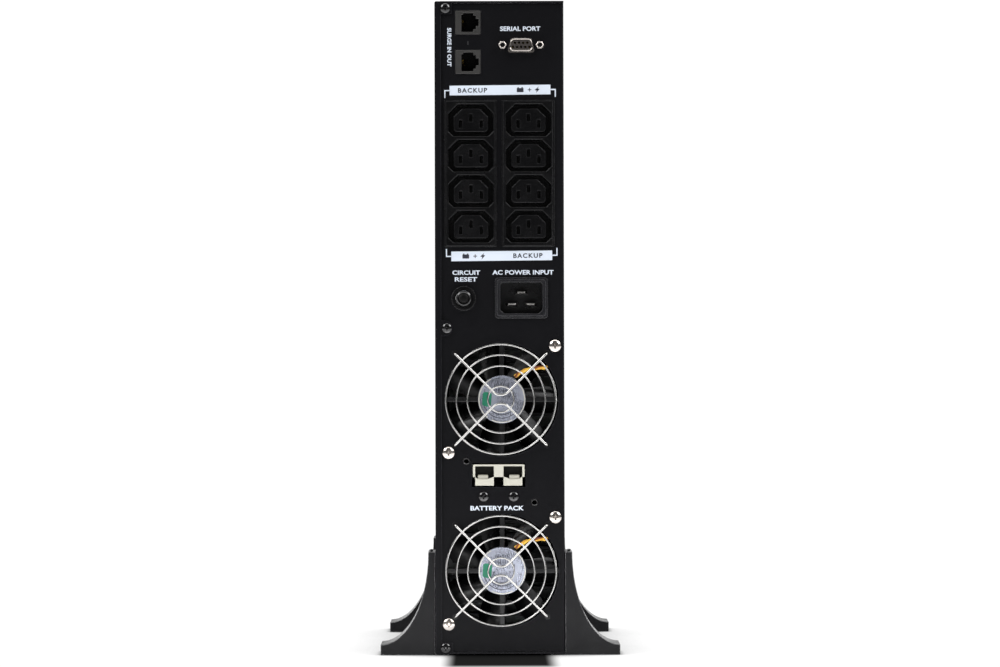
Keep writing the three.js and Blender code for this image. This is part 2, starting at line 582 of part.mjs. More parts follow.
// The fan's leads, as one bundle, from the edge of the fixed hub to the side of the bore.
function fanCable(z) {
  const y = (STRUT.y[0] + STRUT.y[1]) / 2;
  const route = new THREE.QuadraticBezierCurve3(
    new THREE.Vector3(FAN.x + 9, y, z + 15.2), new THREE.Vector3(FAN.x + 15, y - 0.6, z + 21.5),
    new THREE.Vector3(FAN.x + 30.5, y, z + 21.3));
  const section = new THREE.Shape().absarc(0, 0, 1.2, 0, 2 * Math.PI);
  const options = { steps: 6, curveSegments: 3, bevelEnabled: false, extrudePath: route };
  return solidOf(new THREE.ExtrudeGeometry(section, options));
}

// ---- power electronics ----
const BOARD_X = [33, 34.6];

// The main board with what is soldered to it: relays, terminal blocks and the fuse holder.
function mainBoard() {
  const [x0, x1] = BOARD_X;
  const part = (y0, z0, y1, z1, tall) => block([x0 - tall, y0, z0], [x0 + 0.2, y1, z1]);
  return union([
    block([x0, -160, BAY_TOP + 8], [x1, 170, TOP - 8]),
    part(-150, 240, -130, 270, 22),
    part(-150, 280, -130, 310, 22),
    part(-150, 330, -138, 420, 14),
    part(-90, 400, -60, 420, 12),
    part(120, 390, 160, 420, 10),
    part(-60, 232, 60, 236, 30),
  ]);
}

function transformer() {
  const core = block([-26, 72, 300], [BOARD_X[0] - GAP, 132, 372]);
  const winding = slabAlongX(rectangle(102, 336, 84, 46, 12), -18, 24, 4);
  return core.add(winding);
}

function boostChoke() {
  const geometry = new THREE.TorusGeometry(22, 10, 8, 18);
  geometry.rotateY(Math.PI / 2);
  geometry.translate(BOARD_X[0] - GAP - 10, 10, 290);
  return solidOf(geometry);
}

function busCapacitor() {
  return rodAlongX(10, 360, 17.5, BOARD_X[0] - GAP - 50, BOARD_X[0] - GAP, 28);
}

// A finned bar across the air stream between the fans and the battery bay.
function heatsink() {
  const [y0, y1] = [INSIDE + 29, INSIDE + 73];
  const base = block([36.5, y0, 14], [RIGHT - SHEET - GAP, y1, 210]);
  const fins = Array.from({ length: 22 }, (_, i) => block([-32, y0, 16 + i * 9], [37, y1, 17.8 + i * 9]));
  return union([base, ...fins]);
}

// ---- battery drawer ----
function batteryTray() {
  const [[x0, x1], [y0, y1], [z0, z1]] = [TRAY.x, TRAY.y, TRAY.z];
  const plates = [
    block([x1 - SHEET, y0, z0], [x1, y1, z1]),
    block([x0, y0, z0], [x1, y1, z0 + SHEET]),
    block([x0, y0, z1 - SHEET], [x1, y1, z1]),
    block([x0, y0, z0], [x1, y0 + SHEET, z1]),
    block([x0, y1 - SHEET, z0], [x1, y1, z1]),
  ];
  const grip = y1 - SHEET / 2 + 12;
  const loop = rectangle(grip, LIFT + 106, 24, 60, 6);
  loop.holes.push(rectangle(grip, LIFT + 106, 17, 52, 4));
  return union([...plates, slabAlongX(loop, -9, 9)]);
}

function battery(row, column) {
  const [x0, x1] = BATTERY.x;
  const z0 = BATTERY.rows[row];
  const z1 = z0 + BATTERY.height;
  const y0 = TRAY.y[0] + SHEET + 0.5 + column * (BATTERY.length + 0.6);
  const y1 = y0 + BATTERY.length;
  const jar = block([x0 + 0.5, y0 + 0.5, z0], [x1 - 0.5, y1 - 0.5, z1 - 6]);
  const lid = block([x0, y0, z1 - 8], [x1, y1, z1]);
  const tabTop = z1 + BATTERY.terminal;
  const tabs = [y0 + 12, y1 - 12].map((y) =>
    block([x1 - 16, y - 3.15, z1 - 1], [x1 - 15.2, y + 3.15, tabTop]));
  return union([jar, lid, ...tabs]);
}

// ---- front ----
function frontShell(z0, z1) {
  const corner = 8;
  const plan = (inset, back) => roundedOutline([
    [LEFT + inset, back], [RIGHT - inset, back],
    [RIGHT - inset, FRONT - inset], [LEFT + inset, FRONT - inset],
  ], [0, 0, corner - inset, corner - inset]);
  return slabAlongZ(plan(0, BEZEL_BACK), z0, z1)
    .subtract(slabAlongZ(plan(BEZEL_WALL, BEZEL_BACK - THROUGH), z0 + BEZEL_WALL, z1 - BEZEL_WALL));
}

// Horizontal air slots through the front wall, at an even pitch from one height to another.
function airSlots(z0, z1) {
  const pitch = 8;
  const count = Math.floor((z1 - z0) / pitch) + 1;
  return Array.from({ length: count }, (_, i) =>
    block([-31, FRONT - BEZEL_WALL - THROUGH, z0 + i * pitch], [31, FRONT + THROUGH, z0 + i * pitch + 3.4]));
}

function frontBezel() {
  const dialHole = rodAlongY(0, DIAL.z, DIAL.radius + 0.6, FRONT - BEZEL_WALL - THROUGH, FRONT + THROUGH, 36);
  return cut(frontShell(BAY_TOP + 1, TOP), [
    dialHole,
    ...airSlots(BAY_TOP + 11, DIAL.z - DIAL.radius - 12),
    ...airSlots(DIAL.z + DIAL.radius + 9, TOP - 14),
  ]);
}

function batteryDoor() {
  const post = (x, z) => rodAlongY(x, z, 3, TRAY.y[1] + GAP, FRONT - 2, 12);
  const posts = [-28, 28].flatMap((x) => [30, 190].map((z) => post(x, z)));
  return cut(frontShell(LIFT, BAY_TOP), airSlots(14, 202)).add(union(posts));
}

const DIAL_FACE = FRONT - DIAL.sink;
const BUTTONS = { button_power: -15, button_select: 0, button_enter: 15 };
const BUTTON_ROW = DIAL.z - 17;
const SCREEN = { width: 42, height: 26, z: DIAL.z + 8 };

function displayDial() {
  const { radius, flange, depth, z } = DIAL;
  const inner = FRONT - BEZEL_WALL - GAP;
  const profile = [
    [0, FRONT - depth], [radius, FRONT - depth], [radius, inner - 3],
    [radius + flange, inner - 3], [radius + flange, inner], [radius, inner],
    [radius, DIAL_FACE - 0.8], [radius - 0.8, DIAL_FACE], [0, DIAL_FACE],
  ];
  const hollow = rodAlongY(0, z, radius - 3, FRONT - depth - THROUGH, DIAL_FACE - 3.5, 28);
  const screen = rectangle(0, SCREEN.z, SCREEN.width, SCREEN.height, 1.5);
  const recess = slabAlongY(screen, DIAL_FACE - 1.5, FRONT, 2);
  const holes = Object.values(BUTTONS).map((x) => rodAlongY(x, BUTTON_ROW, 4.3, FRONT - depth, FRONT, 12));
  return cut(turned(0, z, profile, 36), [hollow, recess, ...holes]);
}

function displayWindow() {
  const glass = rectangle(0, SCREEN.z, SCREEN.width - 0.6, SCREEN.height - 0.6, 1.2);
  return slabAlongY(glass, DIAL_FACE - 1.2, DIAL_FACE - 0.2, 2);
}

function pushButton(x) {
  const back = DIAL_FACE - 7.5;
  const profile = [
    [0, back], [5.2, back], [5.2, back + 2], [4, back + 2],
    [4, FRONT - 0.6], [3.6, FRONT - 0.2], [0, FRONT - 0.2],
  ];
  return turned(x, BUTTON_ROW, profile, 12);
}

// ---- feet ----
// Each foot flares out from the side of the body in a quarter ellipse, and its lip runs under the body.
function towerFoot(side, y0) {
  const wall = RIGHT + GAP;
  const rise = FOOT.top - FOOT.lipHeight;
  const flare = FOOT.reach - FOOT.topReach;
  const steps = 12;
  const curve = Array.from({ length: steps + 1 }, (_, i) => {
    const angle = (i * Math.PI) / 2 / steps;
    return [side * (RIGHT + FOOT.reach - flare * Math.sin(angle)), FOOT.top - rise * Math.cos(angle)];
  });
  const outline = [
    [side * wall, FOOT.top], [side * wall, LIFT - GAP], [side * (RIGHT - FOOT.under), LIFT - GAP],
    [side * (RIGHT - FOOT.under), 0], [side * (RIGHT + FOOT.reach), 0], ...curve,
  ];
  return slabAlongY(roundedOutline(outline, 0), y0, y0 + FOOT.length);
}

// ---- assembly ----
piece("chassis_base", chassisBase(), BLACK_STEEL);
piece("top_cover", topCover(), BLACK_STEEL);
piece("front_frame", frontFrame(), ZINC_STEEL);
piece("bay_divider", bayDivider(), ZINC_STEEL);

piece("outlet_block_left", outletBlock(-OUTLET.x), BLACK_PLASTIC);
piece("outlet_block_right", outletBlock(OUTLET.x), BLACK_PLASTIC);
piece("inlet_housing", inletHousing(), BLACK_PLASTIC);
Object.entries(INLET_PINS).forEach(([name, place]) => piece(name, inletPin(place), NICKEL));
piece("line_jack_upper", lineJack(LIFT + JACK.zs[0]), GREY_PLASTIC);
piece("line_jack_lower", lineJack(LIFT + JACK.zs[1]), GREY_PLASTIC);
piece("serial_shell", serialShell(), NICKEL);
piece("serial_insert", serialInsert(), BLACK_PLASTIC);
piece("serial_jackscrew_left", jackScrew(-1), NICKEL);
piece("serial_jackscrew_right", jackScrew(1), NICKEL);
piece("battery_connector", batteryConnector(), IVORY_PLASTIC);
piece("battery_contact_left", batteryContact(-1), NICKEL);
piece("battery_contact_right", batteryContact(1), NICKEL);
piece("breaker_body", breakerBody(), BLACK_PLASTIC);
piece("breaker_nut", breakerNut(), BLACK_PLASTIC);
piece("breaker_button", breakerButton(), BLACK_PLASTIC);

const SMALL_SCREW = { head: 3.35, height: 2, shank: 1.4, end: INSIDE + 5 };
Object.entries(COVER_SCREWS).forEach(([name, place]) => {
  const screw = crossHeadScrew(raised(place), { ...SMALL_SCREW, seat: OUTSIDE - SHEET - GAP });
  piece(`cover_screw_${name}`, screw, BLACK_STEEL);
});
Object.entries(PORT_SCREWS).forEach(([name, place]) => {
  const screw = crossHeadScrew(raised(place), { ...SMALL_SCREW, seat: OUTSIDE });
  piece(`connector_screw_${name}`, screw, BLACK_STEEL);
});

Object.entries(FAN.zs).forEach(([name, height]) => {
  const z = LIFT + height;
  const fanScrew = { head: 4.15, height: 2.6, shank: 1.9, seat: OUTSIDE, end: INSIDE + FAN.depth + 4 };
  piece(`fan_frame_${name}`, fanFrame(z), BLACK_PLASTIC);
  piece(`fan_rotor_${name}`, fanRotor(z), BLACK_PLASTIC);
  piece(`fan_guard_${name}`, fanGuard(z), NICKEL);
  piece(`fan_cable_${name}`, fanCable(z), CABLE);
  piece(`fan_screw_${name}_right`, crossHeadScrew([FAN.x + FAN_SCREW, z + FAN_SCREW], fanScrew), NICKEL);
  piece(`fan_screw_${name}_left`, crossHeadScrew([FAN.x - FAN_SCREW, z - FAN_SCREW], fanScrew), NICKEL);
});

piece("main_board", mainBoard(), BOARD);
piece("power_transformer", transformer(), ZINC_STEEL);
piece("boost_choke", boostChoke(), WINDING);
piece("bus_capacitor", busCapacitor(), BLACK_PLASTIC);
piece("heatsink", heatsink(), ALUMINIUM);

piece("battery_tray", batteryTray(), ZINC_STEEL);
[0, 1].forEach((row) => [0, 1].forEach((column) => {
  piece(`battery_${1 + 2 * row + column}`, battery(row, column), BATTERY_PLASTIC);
}));
piece("battery_door", batteryDoor(), BLACK_PLASTIC);
piece("front_bezel", frontBezel(), BLACK_PLASTIC);
piece("display_dial", displayDial(), BLACK_PLASTIC);
piece("display_window", displayWindow(), LCD_GLASS);
Object.entries(BUTTONS).forEach(([name, x]) => piece(name, pushButton(x), GREY_PLASTIC));

const FOOT_REAR_Y = REAR + FOOT.inset;
const FOOT_FRONT_Y = FOOT_REAR_Y + FOOT.pitch;
piece("foot_rear_left", towerFoot(-1, FOOT_REAR_Y), FOOT_PLASTIC);
piece("foot_rear_right", towerFoot(1, FOOT_REAR_Y), FOOT_PLASTIC);
piece("foot_front_left", towerFoot(-1, FOOT_FRONT_Y), FOOT_PLASTIC);
piece("foot_front_right", towerFoot(1, FOOT_FRONT_Y), FOOT_PLASTIC);

export default ups;
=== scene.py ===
import math
from dataclasses import dataclass, field
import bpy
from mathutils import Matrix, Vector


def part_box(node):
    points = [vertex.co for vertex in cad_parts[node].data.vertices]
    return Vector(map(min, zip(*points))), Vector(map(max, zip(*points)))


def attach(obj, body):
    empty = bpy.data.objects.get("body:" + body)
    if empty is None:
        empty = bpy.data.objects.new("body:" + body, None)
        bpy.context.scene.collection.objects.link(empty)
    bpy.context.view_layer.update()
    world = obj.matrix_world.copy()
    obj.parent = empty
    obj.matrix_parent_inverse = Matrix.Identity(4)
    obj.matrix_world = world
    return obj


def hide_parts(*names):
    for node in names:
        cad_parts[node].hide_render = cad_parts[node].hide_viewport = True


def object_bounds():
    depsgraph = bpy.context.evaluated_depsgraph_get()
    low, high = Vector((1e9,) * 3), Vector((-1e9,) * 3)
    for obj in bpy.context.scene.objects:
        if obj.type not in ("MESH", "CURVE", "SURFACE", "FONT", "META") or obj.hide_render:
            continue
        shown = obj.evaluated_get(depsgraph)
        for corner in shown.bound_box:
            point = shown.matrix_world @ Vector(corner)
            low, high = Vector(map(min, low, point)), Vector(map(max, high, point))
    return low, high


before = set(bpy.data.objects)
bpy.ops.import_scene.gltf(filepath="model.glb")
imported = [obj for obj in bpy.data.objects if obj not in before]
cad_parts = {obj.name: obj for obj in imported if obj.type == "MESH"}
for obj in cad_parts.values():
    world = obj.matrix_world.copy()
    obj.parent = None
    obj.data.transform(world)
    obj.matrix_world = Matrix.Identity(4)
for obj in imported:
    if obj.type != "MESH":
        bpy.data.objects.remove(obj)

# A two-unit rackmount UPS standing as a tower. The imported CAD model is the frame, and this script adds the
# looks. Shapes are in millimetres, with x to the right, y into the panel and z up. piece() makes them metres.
from types import SimpleNamespace

import bmesh
import bpy
from mathutils import Matrix, Vector
from mathutils.geometry import tessellate_polygon

CAD_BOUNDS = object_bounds()
MM = 0.001


def span(node):
    """A CAD node's box in millimetres: its lowest corner, highest corner, middle and size."""
    low, high = (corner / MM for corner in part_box(node))
    return SimpleNamespace(low=low, high=high, mid=(low + high) / 2, size=high - low)


# ---- planes and places taken from the frame ----
BASE = span("chassis_base")
PANEL = BASE.low.y  # outer face of the connector panel
UNDERSIDE = span("top_cover").low.z  # underside of the body
SHEET = 1.2
GAP = 0.3
SEAT = PANEL - GAP  # plane of what is mounted on the outside of the panel
BEHIND = PANEL + SHEET + GAP  # plane of what is mounted on the inside of the panel
PRINT = 0.05  # thickness of printed marks
BOTH_SIDES = (("left", -1), ("right", 1))


# ---- outlines, as lists of (x, z) ----
def circle(x, z, radius, count=48):
    turns = (2 * math.pi * i / count for i in range(count))
    return [(x + radius * math.cos(a), z + radius * math.sin(a)) for a in turns]


def arc(x, z, radius, start, sweep):
    """Points along an arc, given in degrees."""
    steps = 24
    turns = (math.radians(start + sweep * i / steps) for i in range(steps + 1))
    return [(x + radius * math.cos(a), z + radius * math.sin(a)) for a in turns]


def symmetric(right):
    """A closed outline about x = 0, from the points of its right half, listed from the bottom up."""
    return [*right, *((-u, w) for u, w in reversed(right))]


def placed(x, z, outline):
    """An outline drawn about the origin, moved to (x, z)."""
    return [(x + u, z + w) for u, w in outline]


def rounded(corners, radii, steps=6, closed=True):
    """Corners joined by straight stretches, each turned by an arc of its own radius. Works in 2D and 3D."""
    points = [Vector(corner) for corner in corners]
    count = len(points)
    radii = radii if isinstance(radii, (list, tuple)) else [radii] * count
    path = []
    for i, (corner, radius) in enumerate(zip(points, radii)):
        is_end = not closed and i in (0, count - 1)
        if radius <= 0 or is_end:
            path.append(corner)
            continue
        before = (points[i - 1] - corner).normalized()
        after = (points[(i + 1) % count] - corner).normalized()
        half = before.angle(after) / 2
        centre = corner + (before + after).normalized() * radius / math.sin(half)
        start = corner + before * radius / math.tan(half) - centre
        end = corner + after * radius / math.tan(half) - centre
        turn = start.angle(end)
        for step in range(steps + 1):
            k = step / steps
            arm = (start * math.sin((1 - k) * turn) + end * math.sin(k * turn)) / math.sin(turn)
            path.append(centre + arm)
    return [tuple(point) for point in path]


def rect(x, z, width, height, radius=0.0, steps=6):
    w, h = width / 2, height / 2
    return rounded(placed(x, z, [(-w, -h), (w, -h), (w, h), (-w, h)]), radius, steps)


def footprint(at, radius, wider=0.0, taller=0.0):
    """The outline of a CAD node's box seen along y, made wider and taller where that is asked."""
    return rect(at.mid.x, at.mid.z, at.size.x + wider, at.size.z + taller, radius)


def offset(outline, distance):
    """The outline moved inwards by a distance, or outwards by a negative one."""
    points = [Vector(point) for point in outline]
    area = sum(a.cross(b) for a, b in zip(points, points[1:] + points[:1]))
    side = 1 if area > 0 else -1
    sharpest = 0.35  # keeps the mitre of a very sharp corner short
    moved = []
    for i, point in enumerate(points):
        before = (point - points[i - 1]).normalized()
        after = (points[(i + 1) % len(points)] - point).normalized()
        normal_a = Vector((-before.y, before.x)) * side
        normal_b = Vector((-after.y, after.x)) * side
        miter = (normal_a + normal_b) / max(sharpest, 1 + normal_a.dot(normal_b))
        moved.append(tuple(point + miter * distance))
    return moved


# ---- closed solids ----
@dataclass
class Solid:
    """Points and faces, grown from rings of points."""
    points: list = field(default_factory=list)
    faces: list = field(default_factory=list)

    def ring(self, points):
        start = len(self.points)
        self.points.extend(Vector(point) for point in points)
        return list(range(start, len(self.points)))

    def flat(self, outline, y):
        return self.ring((x, y, z) for x, z in outline)

    def bands(self, rings):
        for first, second in zip(rings, rings[1:]):
            count = len(first)
            for i in range(count):
                j = (i + 1) % count
                self.faces.append((first[i], first[j], second[j], second[i]))

    def fill(self, outer, holes=()):
        if not holes:
            self.faces.append(tuple(outer))
            return
        loops = [outer, *holes]
        names = [index for loop in loops for index in loop]
        flat = [[(self.points[i].x, self.points[i].z, 0.0) for i in loop] for loop in loops]
        self.faces.extend(tuple(names[i] for i in triangle) for triangle in tessellate_polygon(flat))

    def fan(self, ring, tip):
        top = self.ring([tip])[0]
        count = len(ring)
        self.faces.extend((ring[i], ring[(i + 1) % count], top) for i in range(count))

    def add(self, other):
        start = len(self.points)
        self.points.extend(other.points)
        self.faces.extend(tuple(start + i for i in face) for face in other.faces)

    def moved(self, matrix):
        return Solid([matrix @ point for point in self.points], list(self.faces))


@dataclass
class Area:
    """Part of a face that is stepped to another level along y, or cut through when it has no level."""
    outline: list
    level: float | None = None
    areas: list = field(default_factory=list)
    edge: float = 0.2


EDGE_STEPS = 3


def edge_profile(edge):
    """(inset, drop) pairs of a quarter round, from the wall to the face."""
    for step in range(EDGE_STEPS + 1):
        a = math.pi / 2 * step / EDGE_STEPS
        yield edge * (1 - math.cos(a)), edge * (1 - math.sin(a))


def step_area(solid, area, level, back, through):
    """Adds the walls of an area and everything inside it, and returns its ring on the face around it."""
    def rounded_rings(side, from_level):
        return [solid.flat(offset(area.outline, side * inset), from_level + drop)
                for inset, drop in edge_profile(area.edge)]

    if area.level is None or area.level > level:
        rings = rounded_rings(-1, level)[::-1]
        floor_level = back if area.level is None else area.level
        rings.append(solid.flat(area.outline, floor_level))
    else:
        rings = [solid.flat(area.outline, level), *rounded_rings(1, area.level)]
    solid.bands(rings)
    if area.level is None:
        through.append(rings[-1])
    else:
        inner = [step_area(solid, child, area.level, back, through) for child in area.areas]
        solid.fill(rings[-1], inner)
    return rings[0]


def relief(outline, front, back, areas=(), edge=0.4, neck=None):
    """An outline swept along y, with a rounded front edge and areas of its face stepped or cut through.

    neck is an optional (outline, y): behind y the solid has that outline instead."""
    solid = Solid()
    rings = [solid.flat(offset(outline, inset), front + drop) for inset, drop in edge_profile(edge)][::-1]
    if neck:
        behind, y = neck
        rings += [solid.flat(outline, y), solid.flat(behind, y), solid.flat(behind, back)]
    else:
        rings.append(solid.flat(outline, back))
    solid.bands(rings)
    through = []
    holes = [step_area(solid, area, front, back, through) for area in areas]
    solid.fill(rings[0], holes)
    solid.fill(rings[-1], through)
    return solid


def lathe(x, z, profile, count=48):
    """A profile of (radius, y) turned about a line along y.

    The profile starts and ends on the axis, or closes on itself."""
    solid = Solid()
    on_axis = profile[0][0] == 0
    inner = profile[1:-1] if on_axis else profile
    rings = [solid.flat(circle(x, z, radius, count), y) for radius, y in inner]
    solid.bands(rings if on_axis else [*rings, rings[0]])
    if on_axis:
        solid.fan(rings[0], (x, profile[0][1], z))
        solid.fan(rings[-1], (x, profile[-1][1], z))
    return solid


def loft(sections, closed=False):
    """A skin over sections with equal numbers of points. It has flat ends, or joins up when closed."""
    solid = Solid()
    rings = [solid.ring(section) for section in sections]
    if closed:
        solid.bands([*rings, rings[0]])
    else:
        solid.bands(rings)
        solid.fill(rings[0])
        solid.fill(rings[-1])
    return solid


def tube(path, radius, sides=12, closed=False):
    """A round wire along a path of 3D points."""
    points = [Vector(point) for point in path]
    count = len(points)
    sections = []
    normal = None
    for i, point in enumerate(points):
        last = points[i - 1] if i or closed else point
        following = points[(i + 1) % count] if i < count - 1 or closed else point
        way = (following - last).normalized()
        normal = normal or way.orthogonal().normalized()
        normal = (normal - way * normal.dot(way)).normalized()
        side = way.cross(normal)
        angles = (2 * math.pi * k / sides for k in range(sides))
        around = (normal * math.cos(a) + side * math.sin(a) for a in angles)
        sections.append([point + arm * radius for arm in around])
    return loft(sections, closed)


def bar(low, high, edge=0.2):
    """A box between two corners, with a rounded front edge."""
    (x0, y0, z0), (x1, y1, z1) = low, high
    return relief(rect((x0 + x1) / 2, (z0 + z1) / 2, x1 - x0, z1 - z0, edge, 3), y0, y1, edge=edge)


def turned(solids, pivot, angle, axis="Y"):
    """Solids turned about an axis through a point."""
    there = Matrix.Translation(pivot)
    matrix = there @ Matrix.Rotation(angle, 4, axis) @ there.inverted()
    return [solid.moved(matrix) for solid in solids]


# ---- printed marks, on a plane that faces -Y ----
def lettering(text, x, z, width, cap, plane=PANEL, turn=0.0, spacing=1.0, weight=0.026):
    """Raised print, fitted to a width and a capital height about its centre."""
    curve = bpy.data.curves.new("lettering", "FONT")
    curve.body = text
    curve.extrude = 0.02  # any thickness will do, since it is scaled to PRINT
    curve.offset = weight
    curve.resolution_u = 3
    curve.space_character = spacing
    holder = bpy.data.objects.new("lettering", curve)
    mesh = holder.to_mesh()
    points = [vertex.co.copy() for vertex in mesh.vertices]
    faces = [tuple(polygon.vertices) for polygon in mesh.polygons]
    holder.to_mesh_clear()
    bpy.data.objects.remove(holder)
    bpy.data.curves.remove(curve)
    low = Vector(min(point[i] for point in points) for i in range(3))
    high = Vector(max(point[i] for point in points) for i in range(3))
    middle = (low + high) / 2
    scale_x, scale_z = width / (high.x - low.x), cap / (high.y - low.y)
    thick = PRINT / (high.z - low.z)
    matrix = Matrix.Translation((x, plane, z)) @ Matrix.Rotation(turn, 4, "Y")
    flat = (((p.x - middle.x) * scale_x, (low.z - p.z) * thick, (p.y - middle.y) * scale_z) for p in points)
    return Solid([matrix @ Vector(point) for point in flat], faces)


def print_shape(outline, plane=PANEL):
    return relief(outline, plane - PRINT, plane, edge=PRINT / 3)


def stroke(points, width, plane=PANEL):
    """A line of even width through (x, z) points, with square ends and mitred corners."""
    line = [Vector(point) for point in points]
    ways = [(end - start).normalized() for start, end in zip(line, line[1:])]
    line[0] -= ways[0] * width / 2
    line[-1] += ways[-1] * width / 2
    left, right = [], []
    for point, before, after in zip(line, [ways[0], *ways], [*ways, ways[-1]]):
        normal = Vector((-before.y - after.y, before.x + after.x)) / (1 + before.dot(after))
        left.append(tuple(point + normal * width / 2))
        right.append(tuple(point - normal * width / 2))
    return print_shape(left + right[::-1], plane)


# ---- materials ----
MATERIALS = {}


def srgb(red, green, blue):
    """A colour given in 8-bit sRGB, as linear values."""
    def linear(value):
        value /= 255
        return value / 12.92 if value <= 0.04045 else ((value + 0.055) / 1.055) ** 2.4
    return (linear(red), linear(green), linear(blue), 1.0)


def shade(colour, factor):
    return (*(min(1.0, channel * factor) for channel in colour[:3]), 1.0)


def set_inputs(tree, node, inputs):
    """Each input gets a value, or a link from another node's output."""
    for key, value in inputs.items():
        if isinstance(value, bpy.types.NodeSocket):
            tree.links.new(value, node.inputs[key])
        else:
            node.inputs[key].default_value = value


def add_node(tree, kind, inputs=None, **settings):
    node = tree.nodes.new(f"ShaderNode{kind}")
    for name, value in settings.items():
        setattr(node, name, value)
    set_inputs(tree, node, inputs or {})
    return node


def map_range(tree, value, start, end, low, high, kind="LINEAR"):
    """The value carried over from the range start to end to the range low to high."""
    inputs = {"Value": value, "From Min": start, "From Max": end, "To Min": low, "To Max": high}
    return add_node(tree, "MapRange", inputs, interpolation_type=kind).outputs["Result"]


def calculate(tree, operation, first, second=0.0):
    return add_node(tree, "Math", {0: first, 1: second}, operation=operation).outputs["Value"]


def edge_wear_and_sheen(tree, amount, patches):
    """How far a place is lightened along its edges, as real wear and, on some finishes, as a painted
    highlight. Edges are where a slightly rounded normal differs from the true one.
    """
    bevel = add_node(tree, "Bevel", {"Radius": 0.8 * MM}, samples=4)
    geometry = add_node(tree, "NewGeometry")
    normals = {0: bevel.outputs["Normal"], 1: geometry.outputs["True Normal"]}
    likeness = add_node(tree, "VectorMath", normals, operation="DOT_PRODUCT").outputs["Value"]
    return calculate(tree, "MULTIPLY", map_range(tree, likeness, 0.98, 0.80, 0.0, amount), patches)


def finish(name, colour, roughness, metallic=0.0, *, variation=0.12, grain=0.02, grain_size=0.5, smudge=0.08,
           wear_and_sheen=0.0, wear_and_sheen_colour=None, brushed=None, coat=0.0, specular=0.5):
    """A procedural surface, with colours given in 8-bit sRGB.

    variation is the spread of the base colour, grain the bump height in mm and grain_size its pitch in mm,
    smudge the spread of the roughness, and wear_and_sheen how far edges turn to wear_and_sheen_colour, as
    real wear and, on some finishes, as a painted highlight.
    brushed stretches the grain along an axis, given as a scale per axis."""
    material = bpy.data.materials.new(f"{name}_finish")
    material.use_nodes = True
    tree = material.node_tree
    base = srgb(*colour)
    place = add_node(tree, "TexCoord").outputs["Object"]

    def noise(scale, detail=3.0, stretch=None):
        source = place
        if stretch:
            source = add_node(tree, "Mapping", {"Vector": place, "Scale": stretch}).outputs["Vector"]
        return add_node(tree, "TexNoise", {"Vector": source, "Scale": scale, "Detail": detail}).outputs["Fac"]

    def spread(value, low, high):
        return map_range(tree, value, 0.3, 0.7, low, high)

    def blend(factor, first, second):
        inputs = {"Factor": factor, "A": first, "B": second}
        return add_node(tree, "Mix", inputs, data_type="RGBA").outputs["Result"]

    tint = blend(spread(noise(28.0), 0.0, 1.0), shade(base, 1 - variation), shade(base, 1 + variation))
    # Edges turn lighter here: real wear, and on some finishes a painted highlight on the rounded edge.
    if wear_and_sheen:
        worn_and_lit = edge_wear_and_sheen(tree, wear_and_sheen, spread(noise(400.0), 0.35, 1.0))
        tint = blend(worn_and_lit, tint, srgb(*wear_and_sheen_colour) if wear_and_sheen_colour else shade(base, 3.0))
    grooves = noise(1 / (grain_size * MM), 2.0, brushed)
    set_inputs(tree, tree.nodes["Principled BSDF"], {
        "Base Color": tint,
        "Roughness": spread(noise(70.0, 4.0), max(0.03, roughness - smudge), min(1.0, roughness + smudge)),
        "Normal": add_node(tree, "Bump", {"Distance": grain * MM, "Height": grooves}).outputs["Normal"],
        "Metallic": metallic,
        "Specular IOR Level": specular,
        "Coat Weight": coat,
        "Coat Roughness": 0.12,
    })
    MATERIALS[name] = material


def make_metals():
    finish("zinc", (152, 155, 154), 0.4, 1.0, grain=0.012, variation=0.07, smudge=0.05,
           wear_and_sheen=0.5, wear_and_sheen_colour=(220, 220, 216))
    finish("nickel", (205, 198, 192), 0.2, 1.0, grain=0.006, variation=0.06)
    finish("guard_wire", (176, 175, 173), 0.2, 1.0, grain=0.004, grain_size=1.5, variation=0.05, smudge=0.04)
    finish("pin", (200, 198, 194), 0.3, 1.0, grain=0.008, grain_size=0.3, brushed=(1.0, 0.08, 1.0))
    finish("gold", (214, 178, 96), 0.22, 1.0, grain=0.004, grain_size=0.3, variation=0.08)
    finish("contact", (206, 203, 190), 0.5, 0.6, grain=0.006, grain_size=0.3, variation=0.05)
    finish("screw_black", (14, 13, 15), 0.13, 0.5, grain=0.012, grain_size=0.35, coat=1.0, smudge=0.04)
    finish("winding", (178, 96, 44), 0.28, 0.7, grain=0.25, grain_size=1.1, brushed=(1.0, 0.1, 0.1),
           variation=0.2)
    finish("core", (120, 120, 122), 0.42, 0.8, grain=0.12, grain_size=0.8, brushed=(1.0, 0.05, 0.05))
    finish("foil", (170, 174, 188), 0.24, 0.8, grain=0.35, grain_size=0.6, brushed=(1.0, 1.0, 0.10),
           variation=0.3, smudge=0.16)
    # The heatsink is near black, partly as black anodising and partly as painted shade inside the fans.
    finish("anodised_painted_shade", (26, 26, 28), 0.45, 0.5, grain=0.03, brushed=(1.0, 1.0, 0.05),
           wear_and_sheen=0.3, wear_and_sheen_colour=(70, 70, 72))


